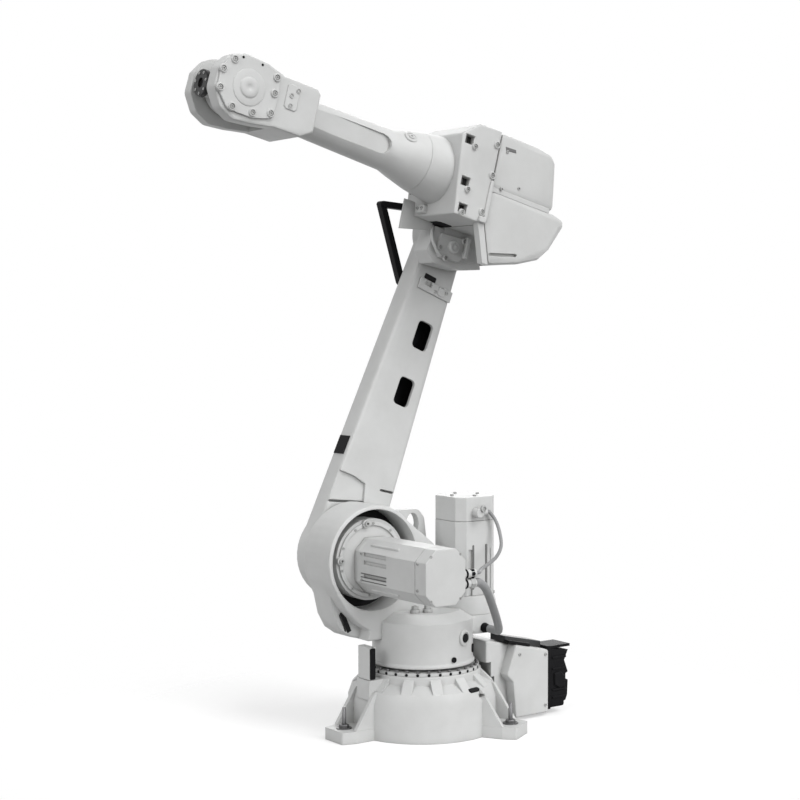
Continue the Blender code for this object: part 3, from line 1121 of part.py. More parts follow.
def elbow_gear(house):
    """The third-axis gear housing: a round hub at the lower arm, a block with a pad and a round boss."""
    hub = rod("axis3_gear_housing", house, "Y", (0.0, 0.0), GEAR_THREE_RADIUS, ARM_NEAR_FACE + SEAT_GAP,
              GEAR_THREE_FACE)
    step = GEAR_THREE_FACE + GEAR_THREE_STEP
    box = plate("gear_block", house, shared(GEAR_THREE_OUTLINE_SHARES, GEAR_THREE_BLOCK),
                ARM_NEAR_FACE + RUNNING_GAP,
                GEAR_THREE_FACE - SMALL_EDGE / 2, edge=SMALL_EDGE)
    pad = plate("gear_pad", house, shared(GEAR_THREE_PAD_SHARES, GEAR_THREE_BLOCK),
                GEAR_THREE_FACE - OVERRUN, step)
    boss = rod("gear_boss", house, "Y", GEAR_THREE_BOSS, GEAR_THREE_BOSS_RADIUS, GEAR_THREE_FACE - OVERRUN,
               step + GEAR_THREE_STEP, sides=SMALL_ROUND_SIDES)
    return finish_part(join(hub, box, pad, boss), PAINT)


def elbow_covers(house):
    """The two moulded covers behind the elbow: the lower one stands out further and has a slot."""
    front = HOUSE_SPLIT - SEAT_GAP
    rear_upper = shared(UPPER_REAR_SHARES, HOUSE_REAR_UPPER, HOUSE_TOP)
    upper = [(front, HOUSE_COVER_SPLIT + SEAT_GAP), (front, HOUSE_TOP)] + rear_upper
    upper += [(HOUSE_REAR_UPPER, HOUSE_COVER_SPLIT + SEAT_GAP)]
    rear_lower = shared(LOWER_REAR_SHARES, HOUSE_REAR_LOWER, -HOUSE_BOTTOM)
    lower = [(front, HOUSE_FRONT_BOTTOM), (front, HOUSE_COVER_SPLIT), (HOUSE_REAR_UPPER, HOUSE_COVER_SPLIT)]
    lower += rear_lower + [(front - STRIP_LEAN, HOUSE_BOTTOM)]
    top = plate("elbow_cover_upper", house, upper, HOUSE_FAR_FACE, HOUSE_NEAR_FACE, edge=COVER_EDGE)
    finish_part(top, PAINT)
    low = plate("elbow_cover_lower", house, lower, HOUSE_FAR_FACE, HOUSE_NEAR_FACE, edge=COVER_EDGE)
    reach = COVER_SLOT_LENGTH - COVER_SLOT_WIDTH
    end = (COVER_SLOT_START[0] + reach * math.cos(COVER_SLOT_LEAN),
           COVER_SLOT_START[1] + reach * math.sin(COVER_SLOT_LEAN))
    slot = capsule(COVER_SLOT_START, end, COVER_SLOT_WIDTH / 2, 2)
    cut(low, gear_room(house),
        block("elbow_room", house, (HOUSE_ROOM_BACK, HOUSE_FRONT),
              (HOUSE_FAR_FACE - OVERRUN, HOUSE_NEAR_FACE - HOUSE_WALL - SEAT_GAP),
              (2 * HOUSE_BOTTOM, HOUSE_FRONT_BOTTOM)),
        plate("cover_slot", house, slot, HOUSE_NEAR_FACE - COVER_SLOT_DEPTH, HOUSE_NEAR_FACE + OVERRUN))
    finish_part(low, PAINT)


def elbow_bracket(house):
    """The sheet bracket under the neck that steadies the hoses."""
    seat = HOUSE_FRONT_BOTTOM - SEAT_GAP
    chin = HOUSE_FRONT * CASTING_CHIN_SHARE
    outline = [(chin - BRACKET_LENGTH, seat), (chin - BRACKET_LENGTH, seat - OVERRUN),
               (chin + BRACKET_REACH, seat - BRACKET_DROP), (chin + BRACKET_REACH + SMALL_EDGE,
                                                             seat + BRACKET_RISE),
               (chin + 2 * CASTING_EDGE, seat + BRACKET_RISE), (chin + CASTING_EDGE, seat)]
    bracket = plate("elbow_bracket", house, outline, BRACKET_FACE - BRACKET_THICKNESS, BRACKET_FACE)
    return finish_part(bracket, PAINT)


def wrist_fork(forearm):
    """The wrist's cast body seen from the side, narrowed where it meets the tube."""
    shares = WRIST_TOP_SHARES + WRIST_FRONT_SHARES + WRIST_ROOT_SHARES
    corners = shared(shares, FORK_RADIUS, centre=(FOREARM_LENGTH, 0.0))
    radii = [0.0 if abs(share[0]) > 1.5 else FORK_CORNER for share in shares]
    body = plate("wrist_fork", forearm, rounded(corners, radii, 2), -FORK_HALF_WIDTH, FORK_HALF_WIDTH,
                 edge=CASTING_EDGE)
    root = FOREARM_LENGTH + FORK_RADIUS * WRIST_TOP_SHARES[0][0]
    waist = [(root - SMALL_EDGE, -WRIST_WAIST_HALF), (root + WRIST_WAIST_LENGTH, -2 * FORK_HALF_WIDTH),
             (FOREARM_LENGTH + 2 * FORK_RADIUS, -2 * FORK_HALF_WIDTH),
             (FOREARM_LENGTH + 2 * FORK_RADIUS, 2 * FORK_HALF_WIDTH),
             (root + WRIST_WAIST_LENGTH, 2 * FORK_HALF_WIDTH), (root - SMALL_EDGE, WRIST_WAIST_HALF)]
    return combine(body, [plate("wrist_waist", forearm, waist, -2 * FORK_RADIUS, 2 * FORK_RADIUS, "XY")],
                   "INTERSECT")


def forearm_tube(forearm):
    """The forearm: a tapered tube with a flat on each side, from the axis 4 seam to the wrist's fork."""
    seam = NECK_SEAM + SEAT_GAP
    end = FOREARM_LENGTH - TUBE_END_DROP
    profile = [(0.0, -seam), (NECK_SEAM_RADIUS, -seam), (TUBE_FLARE_RADIUS, -TUBE_FLARE),
               (TUBE_ROOT_RADIUS, -TUBE_ROOT), (TUBE_END_RADIUS, -end), (0.0, -end)]
    tube = turned("forearm_tube", forearm, profile)
    tube.data.transform(Matrix.Rotation(-math.pi / 2, 4, "Y"))
    half = TUBE_FLAT_HALF_WIDTH
    flat = capsule((TUBE_FLAT_START + half, 0.0), (FOREARM_LENGTH - TUBE_FLAT_END_DROP, 0.0), half, 6)
    for low, high in ((TUBE_FLAT_OFFSET, TUBE_ROOT_RADIUS + OVERRUN),
                      (-TUBE_ROOT_RADIUS - OVERRUN, -TUBE_FLAT_OFFSET)):
        cut(tube, plate("tube_flat", forearm, flat, low, high))
    join(tube, wrist_fork(forearm))
    cut(tube, block("fork_slot", forearm, (FOREARM_LENGTH - FORK_SLOT_DEPTH,
                                           FOREARM_LENGTH + 2 * FORK_RADIUS),
                    (-FORK_SLOT_HALF, FORK_SLOT_HALF), (-2 * FORK_RADIUS, 2 * FORK_RADIUS)))
    return finish_part(tube, PAINT)


def wrist_covers(forearm):
    """The two bolted covers on the fork's cheeks, each with a round disc at its centre."""
    centre = (FOREARM_LENGTH, 0.0)
    outline = rounded(shared(WRIST_COVER_SHARES, WRIST_COVER_RADIUS, centre=centre), FORK_CORNER / 2, 2)
    for name, side in (("wrist_cover_left", 1), ("wrist_cover_right", -1)):
        seat = FORK_HALF_WIDTH + SEAT_GAP
        face = seat + WRIST_COVER_THICKNESS
        cover = plate(name, forearm, outline, *sorted((side * seat, side * face)))
        disc = rod("wrist_disc", forearm, "Y", centre, WRIST_DISC_RADIUS,
                   *sorted((side * (seat + SMALL_EDGE), side * (face + WRIST_DISC_STAND))),
                   sides=SMALL_ROUND_SIDES)
        finish_part(join(cover, disc), PAINT)


def tilt_housing(tilt):
    """The wrist's tilting head: a drum between the fork's cheeks with a round snout."""
    drum = rod("tilt_housing", tilt, "Y", (0.0, 0.0), TILT_RADIUS, -TILT_HALF_WIDTH, TILT_HALF_WIDTH)
    hub = rod("tilt_hub", tilt, "Y", (0.0, 0.0), TILT_NECK_RADIUS, -FORK_SLOT_HALF + SEAT_GAP,
              FORK_SLOT_HALF - SEAT_GAP, sides=SMALL_ROUND_SIDES)
    snout = rod("tilt_snout", tilt, "X", (0.0, 0.0), TILT_NECK_RADIUS, 0.0,
                FLANGE_REACH - FLANGE_THICKNESS - SEAT_GAP, sides=SMALL_ROUND_SIDES)
    return finish_part(join(soften(drum, SMALL_EDGE, 1), hub, snout), PAINT)


def tool_flange(tilt):
    """The black tool flange with its centring bore."""
    flange = rod("tool_flange", tilt, "X", (0.0, 0.0), FLANGE_RADIUS, FLANGE_REACH - FLANGE_THICKNESS,
                 FLANGE_REACH)
    cut(soften(flange, SMALL_EDGE, 1),
        rod("flange_bore", tilt, "X", (0.0, 0.0), FLANGE_BORE, FLANGE_REACH - FLANGE_THICKNESS / 2,
            FLANGE_REACH + OVERRUN, sides=SMALL_ROUND_SIDES))
    return finish_part(flange, BLACK)


def main():
    start_scene()
    base = frame_at("base", (0.0, 0.0, 0.0))
    frame = frame_at("turning_frame", (0.0, 0.0, 0.0), parent=base)
    arm = frame_at("lower_arm", (SHOULDER_FORWARD, 0.0, SHOULDER_HEIGHT), LOWER_ARM_LEAN, frame)
    house = frame_at("elbow", (0.0, 0.0, LOWER_ARM_LENGTH), FOREARM_PITCH - LOWER_ARM_LEAN, arm)
    forearm = frame_at("forearm", (0.0, 0.0, ELBOW_RISE), 0.0, house)
    tilt = frame_at("tilt", (FOREARM_LENGTH, 0.0, 0.0), WRIST_PITCH - FOREARM_PITCH, forearm)
    for make in (base_casting, bolt_ring, first_axis_bearing, stop_post, connector_housing, end_cover,
                 power_connector, connector_covers):
        make(base)
    for make in (frame_casting, drum_plugs, first_motor, axis_two_drive, motor_cables):
        make(frame)
    for make in (lower_arm_casting, arm_covers, hose_guide):
        make(arm)
    for make in (elbow_housing, elbow_gear, elbow_covers, elbow_bracket):
        make(house)
    for make in (forearm_tube, wrist_covers):
        make(forearm)
    tilt_housing(tilt)
    tool_flange(tilt)


main()
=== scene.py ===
import math

import bpy
import numpy as np
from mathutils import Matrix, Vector


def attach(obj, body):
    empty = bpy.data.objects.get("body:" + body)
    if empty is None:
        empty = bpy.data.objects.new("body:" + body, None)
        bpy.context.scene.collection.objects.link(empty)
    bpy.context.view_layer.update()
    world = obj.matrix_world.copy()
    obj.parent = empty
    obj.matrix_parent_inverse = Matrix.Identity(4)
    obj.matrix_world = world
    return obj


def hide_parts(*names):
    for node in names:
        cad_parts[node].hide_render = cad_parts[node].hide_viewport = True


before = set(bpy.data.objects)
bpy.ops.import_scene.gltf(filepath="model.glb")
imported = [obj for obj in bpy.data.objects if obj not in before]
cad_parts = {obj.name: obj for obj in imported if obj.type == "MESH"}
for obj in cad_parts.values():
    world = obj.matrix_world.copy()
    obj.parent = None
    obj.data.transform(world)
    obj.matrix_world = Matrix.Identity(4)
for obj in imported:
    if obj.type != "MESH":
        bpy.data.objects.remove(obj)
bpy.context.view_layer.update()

MM = 0.001
WELD_DISTANCE = 0.1 * MM
SHARP_ANGLE = math.radians(30)

# Camera: the photograph's angle, distance and crop
LOOK_AT = Vector((-0.085, 0.0, 0.8423))
CAMERA_AZIMUTH = 0.6472
CAMERA_ELEVATION = 0.0437
CAMERA_DISTANCE = 4.30585
SENSOR = 36.0
LENS = SENSOR * 1658.4 / 800
CAMERA_SHIFT = (400 - 448.8) / 800

# Cable routes, the same as the CAD's, in metres
MOTOR_ONE_ROUTE = [(-0.1513, 0.0743, 0.5523), (-0.156, 0.0743, 0.5523), (-0.161, 0.0743, 0.5523),
                   (-0.175, 0.082, 0.530), (-0.179, 0.094, 0.500), (-0.168, 0.114, 0.466),
                   (-0.112, 0.160, 0.445), (-0.026, 0.216, 0.433), (0.012, 0.254, 0.432),
                   (0.022, 0.260, 0.432), (0.027, 0.260, 0.432), (0.0324, 0.260, 0.432)]
MOTOR_TWO_ROUTE = [(0.0324, 0.260, 0.408), (0.026, 0.260, 0.408), (0.019, 0.260, 0.408),
                   (-0.010, 0.250, 0.388), (-0.050, 0.227, 0.338), (-0.096, 0.190, 0.286),
                   (-0.126, 0.156, 0.258), (-0.137, 0.124, 0.254), (-0.137, 0.114, 0.254),
                   (-0.137, 0.1046, 0.254)]

# Own frames of the moving bodies: origin, forward axis, upward axis
WORLD = ((0.0, 0.0, 0.0), (1.0, 0.0, 0.0), (0.0, 0.0, 1.0))
LOWER_ARM = ((0.150, 0.0, 0.445), (0.9256, 0.0, 0.3785), (-0.3785, 0.0, 0.9256))
ELBOW = ((-0.190638, 0.0, 1.278046), (0.969102, 0.0, 0.246661), (-0.246661, 0.0, 0.969102))
FOREARM = ((-0.219004, 0.0, 1.389493), (0.969102, 0.0, 0.246661), (-0.246661, 0.0, 0.969102))
TOOL = ((0.551432, 0.0, 1.585588), (0.991216, 0.0, 0.132256), (-0.132256, 0.0, 0.991216))


# Camera

def look_from(azimuth, elevation, distance):
    """A camera on a sphere round the arm's middle, looking at it."""
    sight = Vector((math.sin(azimuth) * math.cos(elevation), math.cos(azimuth) * math.cos(elevation),
                    math.sin(elevation)))
    lens = bpy.data.cameras.new("camera")
    lens.sensor_width = SENSOR
    lens.lens = LENS
    lens.shift_x = CAMERA_SHIFT
    camera = bpy.data.objects.new("camera", lens)
    camera.location = LOOK_AT + sight * distance
    camera.rotation_euler = (-sight).to_track_quat("-Z", "Y").to_euler()
    bpy.context.scene.collection.objects.link(camera)
    return camera


bpy.context.scene.camera = look_from(CAMERA_AZIMUTH, CAMERA_ELEVATION, CAMERA_DISTANCE)


# Shader groups and materials

def new_group(name, inputs, outputs):
    """A shader node group with named inputs (name, default) and named outputs (name, socket type)."""
    group = bpy.data.node_groups.new(name, "ShaderNodeTree")
    for label, value in inputs:
        kind = "NodeSocketFloat" if isinstance(value, (int, float)) else "NodeSocketColor"
        socket = group.interface.new_socket(label, in_out="INPUT", socket_type=kind)
        socket.default_value = value
    for label, kind in outputs:
        group.interface.new_socket(label, in_out="OUTPUT", socket_type=kind)
    entry = group.nodes.new("NodeGroupInput")
    leave = group.nodes.new("NodeGroupOutput")
    return group, entry, leave


def add_node(tree, kind, inputs=(), **settings):
    """A node with its settings, and its inputs linked or set by socket name or number."""
    node = tree.nodes.new(kind)
    for key, value in settings.items():
        setattr(node, key, value)
    for key, value in inputs:
        if isinstance(value, bpy.types.NodeSocket):
            tree.links.new(value, node.inputs[key])
        else:
            node.inputs[key].default_value = value
    return node


def edge_group():
    """Where a rounded copy of the surface normal leaves the true one: outer and inner edges, made ragged, for
    wear and a painted highlight.
    """
    group, entry, leave = new_group(
        "worn_and_highlit_edges", [("Width", 0.002), ("Scale", 60.0), ("Amount", 1.0)],
        [("Mask", "NodeSocketFloat"), ("Normal", "NodeSocketVector")])
    rounded = add_node(group, "ShaderNodeBevel", [("Radius", entry.outputs["Width"])], samples=4)
    surface = group.nodes.new("ShaderNodeNewGeometry")
    aligned = add_node(group, "ShaderNodeVectorMath",
                       [(0, rounded.outputs["Normal"]), (1, surface.outputs["Normal"])],
                       operation="DOT_PRODUCT")
    turned_away = add_node(group, "ShaderNodeMapRange",
                           [("Value", aligned.outputs["Value"]), ("From Min", 0.995), ("From Max", 0.90),
                            ("To Min", 0.0), ("To Max", 1.0)])
    place = group.nodes.new("ShaderNodeTexCoord")
    ragged = add_node(group, "ShaderNodeTexNoise",
                      [("Vector", place.outputs["Object"]), ("Scale", entry.outputs["Scale"]),
                       ("Detail", 5.0), ("Roughness", 0.65)])
    broken = add_node(group, "ShaderNodeMapRange",
                      [("Value", ragged.outputs["Fac"]), ("From Min", 0.50), ("From Max", 0.64)])
    worn_and_highlit = add_node(group, "ShaderNodeMath",
                    [(0, turned_away.outputs["Result"]), (1, broken.outputs["Result"])],
                    operation="MULTIPLY")
    scaled = add_node(group, "ShaderNodeMath", [(0, worn_and_highlit.outputs[0]), (1, entry.outputs["Amount"])],
                      operation="MULTIPLY", use_clamp=True)
    group.links.new(scaled.outputs[0], leave.inputs["Mask"])
    group.links.new(rounded.outputs["Normal"], leave.inputs["Normal"])
    return group


def dust_and_shade_group():
    """Cloudy dust: two sizes of noise multiplied, plus painted shade gathered in the corners that little
    light reaches.
    """
    group, entry, leave = new_group(
        "dust_and_corner_shade", [("Scale", 9.0), ("Corner", 0.02), ("Corner shade share", 0.6), ("Cloud share", 0.3)],
        [("Mask", "NodeSocketFloat")])
    place = group.nodes.new("ShaderNodeTexCoord")
    clouds = add_node(group, "ShaderNodeTexNoise",
                      [("Vector", place.outputs["Object"]), ("Scale", entry.outputs["Scale"]),
                       ("Detail", 6.0), ("Roughness", 0.6)])
    cloudy = add_node(group, "ShaderNodeMapRange",
                      [("Value", clouds.outputs["Fac"]), ("From Min", 0.42), ("From Max", 0.75)])
    # painted shade: ambient occlusion darkens the corners and creases
    open_sky = add_node(group, "ShaderNodeAmbientOcclusion", [("Distance", entry.outputs["Corner"])],
                        samples=4)
    corner_shade_mask = add_node(group, "ShaderNodeMapRange",
                         [("Value", open_sky.outputs["AO"]), ("From Min", 0.80), ("From Max", 0.25)])
    corner = add_node(group, "ShaderNodeMath",
                      [(0, corner_shade_mask.outputs["Result"]), (1, entry.outputs["Corner shade share"])],
                      operation="MULTIPLY")
    cloud = add_node(group, "ShaderNodeMath",
                     [(0, cloudy.outputs["Result"]), (1, entry.outputs["Cloud share"])],
                     operation="MULTIPLY")
    total = add_node(group, "ShaderNodeMath", [(0, corner.outputs[0]), (1, cloud.outputs[0])],
                     operation="ADD", use_clamp=True)
    group.links.new(total.outputs[0], leave.inputs["Mask"])
    return group


def skin_group():
    """A sprayed or moulded skin: fine orange-peel height, and a slow change of tone over the piece."""
    group, entry, leave = new_group(
        "sprayed_skin", [("Scale", 700.0), ("Tone scale", 5.0)],
        [("Height", "NodeSocketFloat"), ("Tone", "NodeSocketFloat")])
    place = group.nodes.new("ShaderNodeTexCoord")
    peel = add_node(group, "ShaderNodeTexNoise",
                    [("Vector", place.outputs["Object"]), ("Scale", entry.outputs["Scale"]), ("Detail", 2.0)])
    tone = add_node(group, "ShaderNodeTexNoise",
                    [("Vector", place.outputs["Object"]), ("Scale", entry.outputs["Tone scale"]),
                     ("Detail", 3.0)])
    group.links.new(peel.outputs["Fac"], leave.inputs["Height"])
    group.links.new(tone.outputs["Fac"], leave.inputs["Tone"])
    return group


EDGES = edge_group()
DUST_AND_SHADE = dust_and_shade_group()
SKIN = skin_group()


def place_group(tree, group, values):
    """One use of a shared group, with its own values."""
    node = tree.nodes.new("ShaderNodeGroup")
    node.node_tree = group
    for key, value in values.items():
        node.inputs[key].default_value = value
    return node


def mixed(tree, share, first, second):
    """A colour between two others by a share from 0 to 1."""
    node = add_node(tree, "ShaderNodeMix", [("Factor", share)], data_type="RGBA")
    for label, value in (("A", first), ("B", second)):
        socket = next(s for s in node.inputs if s.name == label and s.type == "RGBA")
        if isinstance(value, bpy.types.NodeSocket):
            tree.links.new(value, socket)
        else:
            socket.default_value = (*value, 1.0)
    return next(s for s in node.outputs if s.type == "RGBA")


def finish(name, colour, warm, dust_and_shade_colour, edge_wear_and_highlight, roughness, metallic=0.0, skin_scale=700.0,
           bump=0.02, edge_width=0.002, edge_amount=0.5, corner=0.6, cloud=0.25, shine=0.5):
    """A finish from the shared groups: two tones, cloudy dust with painted shade in the corners, worn edges
    with a painted highlight, skin bump and gloss.
    """
    material = bpy.data.materials.new(name)
    material.use_nodes = True
    material.diffuse_color = (*colour, 1.0)
    tree = material.node_tree
    shader = tree.nodes["Principled BSDF"]
    worn_and_highlit = place_group(tree, EDGES, {"Width": edge_width, "Scale": 55.0, "Amount": edge_amount})
    dust_and_shade = place_group(tree, DUST_AND_SHADE, {"Scale": 8.0, "Corner": 0.025, "Corner shade share": corner,
                                      "Cloud share": cloud})
    skin = place_group(tree, SKIN, {"Scale": skin_scale, "Tone scale": 5.0})
    body = mixed(tree, skin.outputs["Tone"], colour, warm)
    # painted shade: the dust colour also darkens the corners that little light reaches
    dusted_and_shaded = mixed(tree, dust_and_shade.outputs["Mask"], body, dust_and_shade_colour)
    # painted highlight: a lighter colour on the edges, along with wear
    final = mixed(tree, worn_and_highlit.outputs["Mask"], dusted_and_shaded, edge_wear_and_highlight)
    tree.links.new(final, shader.inputs["Base Color"])
    low, high = roughness
    gloss = add_node(tree, "ShaderNodeMapRange",
                     [("Value", dust_and_shade.outputs["Mask"]), ("To Min", low), ("To Max", high)])
    tree.links.new(gloss.outputs["Result"], shader.inputs["Roughness"])
    relief = add_node(tree, "ShaderNodeBump",
                      [("Height", skin.outputs["Height"]), ("Normal", worn_and_highlit.outputs["Normal"])])
    relief.inputs["Strength"].default_value = bump
    relief.inputs["Distance"].default_value = 0.001
    tree.links.new(relief.outputs["Normal"], shader.inputs["Normal"])
    shader.inputs["Metallic"].default_value = metallic
    shader.inputs["Specular IOR Level"].default_value = shine
    return material


# painted highlight: the light edge colour and amount brighten the paint's edges beyond wear
PAINT = finish("robot_paint", (0.60, 0.605, 0.60), (0.57, 0.575, 0.572), (0.36, 0.36, 0.35),
               (0.78, 0.78, 0.77), (0.44, 0.62), bump=0.10, edge_amount=0.5, edge_width=0.0035, shine=0.28)
MOULDED = finish("moulded_cover", (0.59, 0.595, 0.59), (0.56, 0.565, 0.56), (0.36, 0.36, 0.35),
                 (0.66, 0.66, 0.65), (0.46, 0.62), bump=0.12, skin_scale=420.0, edge_amount=0.3, shine=0.28)
DARK_PLATE = finish("dark_plate", (0.028, 0.029, 0.031), (0.022, 0.023, 0.025), (0.07, 0.068, 0.065),
                    (0.13, 0.13, 0.13), (0.36, 0.60), bump=0.15, skin_scale=500.0, edge_amount=0.7,
                    shine=0.35)
BLACK = finish("black_plastic", (0.006, 0.006, 0.007), (0.009, 0.009, 0.010), (0.018, 0.0175, 0.017),
               (0.040, 0.040, 0.042), (0.48, 0.70), bump=0.2, skin_scale=900.0, edge_amount=0.6, corner=0.2,
               shine=0.08)
STEEL = finish("dark_steel", (0.20, 0.20, 0.205), (0.15, 0.15, 0.155), (0.06, 0.055, 0.05),
               (0.42, 0.42, 0.42), (0.30, 0.55), metallic=0.85, bump=0.1, skin_scale=300.0)
FLANGE_STEEL = finish("tool_flange_steel", (0.012, 0.012, 0.013), (0.008, 0.008, 0.009), (0.04, 0.039, 0.037),
                      (0.20, 0.20, 0.21), (0.35, 0.55), metallic=0.2, bump=0.1, skin_scale=300.0,
                      edge_amount=0.8, edge_width=0.0012, shine=0.3)
HOSE = finish("grey_hose", (0.30, 0.305, 0.31), (0.22, 0.222, 0.226), (0.12, 0.118, 0.115),
              (0.40, 0.40, 0.40), (0.45, 0.7), bump=0.25, skin_scale=260.0, edge_amount=0.2, cloud=0.5)
SCREW = finish("screw_steel", (0.46, 0.465, 0.46), (0.40, 0.405, 0.40), (0.16, 0.155, 0.15),
               (0.62, 0.62, 0.61), (0.34, 0.55), metallic=0.1, bump=0.05, edge_amount=0.8,
               edge_width=0.0006, corner=0.9)
# painted shade: near black and mid grey finishes that stand in for the shade in holes, slots, gaps and
# recesses
BLACK_SHADE_FINISH = finish("dark_recess", (0.014, 0.014, 0.015), (0.010, 0.010, 0.011), (0.030, 0.029, 0.028),
              (0.03, 0.03, 0.03), (0.6, 0.8), bump=0.1, edge_amount=0.1, shine=0.1)
SHADED = finish("shaded_recess", (0.17, 0.17, 0.17), (0.13, 0.13, 0.13), (0.10, 0.098, 0.095),
                (0.2, 0.2, 0.2), (0.5, 0.7), bump=0.1, edge_amount=0.1, shine=0.3)

NODE_FINISH = {"robot_paint": PAINT, "dark_plate": DARK_PLATE, "black_plastic": BLACK, "steel": STEEL,
               "tool_flange": FLANGE_STEEL, "cable": HOSE}
MOULDED_NODES = ("elbow_cover_lower", "elbow_cover_upper")


def dress_nodes():
    """Every CAD node that stays gets its finish, and shading that is even on flats and crisp at edges."""
    for name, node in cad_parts.items():
        if node.hide_render:
            continue
        material = NODE_FINISH[node.data.materials[0].name.split(".")[0]]
        if name in MOULDED_NODES:
            material = MOULDED
        node.data.materials[0] = material
        node.data.polygons.foreach_set("use_smooth", np.ones(len(node.data.polygons), dtype=bool))
        merge = node.modifiers.new("merge", "WELD")
        merge.merge_threshold = WELD_DISTANCE
        split = node.modifiers.new("edges", "EDGE_SPLIT")
        split.split_angle = SHARP_ANGLE
        even = node.modifiers.new("even", "WEIGHTED_NORMAL")
        even.keep_sharp = True


# Surfaces

def smooth_route(points, steps=5):
    """A curve through the points: each span is a cubic of its four neighbours, the ends mirrored."""
    anchors = np.array(points)
    padded = np.vstack([2 * anchors[0] - anchors[1], anchors, 2 * anchors[-1] - anchors[-2]])
    a, b, c, d = padded[:-3], padded[1:-2], padded[2:-1], padded[3:]
    share = (np.arange(steps) / steps)[None, :, None]
    a, b, c, d = (x[:, None, :] for x in (a, b, c, d))
    line = 0.5 * (2 * b + (c - a) * share + (2 * a - 5 * b + 4 * c - d) * share ** 2
                  + (3 * b - a - 3 * c + d) * share ** 3)
    return np.vstack([line.reshape(-1, 3), anchors[-1]])


def cable(name, node, route, diameter):
    """A round cable along its smooth route, a cord that goes back into the object; the CAD's own cable is
    hidden.
    """
    line = smooth_route(route)
    curve = bpy.data.curves.new(name, "CURVE")
    curve.dimensions = "3D"
    curve.bevel_depth = diameter / 2
    curve.bevel_resolution = 4
    curve.use_fill_caps = True
    spline = curve.splines.new("POLY")
    spline.points.add(len(line) - 1)
    spline.points.foreach_set("co", np.column_stack([line, np.ones(len(line))]).ravel())
    spline.use_smooth = True
    curve.materials.append(HOSE)
    piece = bpy.data.objects.new(name, curve)
    bpy.context.scene.collection.objects.link(piece)
    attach(piece, "turning_frame")
    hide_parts(node)


cable("motor_one_cable", "axis1_motor_cable", MOTOR_ONE_ROUTE, 9 * MM)
cable("motor_two_hose", "axis2_motor_cable", MOTOR_TWO_ROUTE, 21 * MM)


# Floor, backdrop and light

SOFTBOX_ANGLE = math.radians(28)
SKY_STRENGTH = 0.62
GROUND_STRENGTH = 0.22
FLOOR_LIFT = 0.48
FLOOR_RINGS = (0.6, 1.2, 1.8, 2.4)
FLOOR_SIDES = 96
FLOOR_LEVEL = -0.0005
FADE_START, FADE_END = 0.38, 1.15


def studio_floor():
    """Rings (r cos a, r sin a) of a pale floor, seen through more and more from FADE_START to FADE_END."""
    radius = np.array(FLOOR_RINGS)
    angle = np.linspace(0, 2 * np.pi, FLOOR_SIDES, endpoint=False)
    points = np.stack([radius[:, None] * np.cos(angle), radius[:, None] * np.sin(angle),
                       np.full((len(radius), FLOOR_SIDES), FLOOR_LEVEL)], axis=-1).reshape(-1, 3)
    mesh = bpy.data.meshes.new("floor")
    ring = np.arange(FLOOR_SIDES)
    after = (ring + 1) % FLOOR_SIDES
    row = FLOOR_SIDES * np.arange(len(radius) - 1)[:, None]
    quads = np.stack([row + ring, row + FLOOR_SIDES + ring, row + FLOOR_SIDES + after, row + after], axis=-1)
    faces = quads.reshape(-1, 4).tolist() + [ring.tolist()]
    mesh.from_pydata(points, [], faces)
    floor = bpy.data.objects.new("floor", mesh)
    bpy.context.scene.collection.objects.link(floor)
    material = bpy.data.materials.new("studio_floor")
    material.use_nodes = True
    tree = material.node_tree
    shader = tree.nodes["Principled BSDF"]
    shader.inputs["Roughness"].default_value = 0.9
    shader.inputs["Specular IOR Level"].default_value = 0.0
    place = tree.nodes.new("ShaderNodeTexCoord")
    grain = add_node(tree, "ShaderNodeTexNoise", [("Vector", place.outputs["Object"]), ("Scale", 3.0)])
    tree.links.new(mixed(tree, grain.outputs["Fac"], (0.56, 0.56, 0.56), (0.54, 0.54, 0.54)),
                   shader.inputs["Base Color"])
    distance = add_node(tree, "ShaderNodeVectorMath", [(0, place.outputs["Object"])], operation="LENGTH")
    fade = add_node(tree, "ShaderNodeMapRange",
                    [("Value", distance.outputs["Value"]), ("From Min", FADE_START), ("From Max", FADE_END),
                     ("To Min", 1.0), ("To Max", 0.0)], interpolation_type="SMOOTHSTEP")
    tree.links.new(fade.outputs["Result"], shader.inputs["Alpha"])
    path = tree.nodes.new("ShaderNodeLightPath")
    lift = add_node(tree, "ShaderNodeMath", [(0, path.outputs["Is Camera Ray"]), (1, FLOOR_LIFT)],
                    operation="MULTIPLY")
    shader.inputs["Emission Color"].default_value = (1.0, 1.0, 1.0, 1.0)
    tree.links.new(lift.outputs[0], shader.inputs["Emission Strength"])
    mesh.materials.append(material)


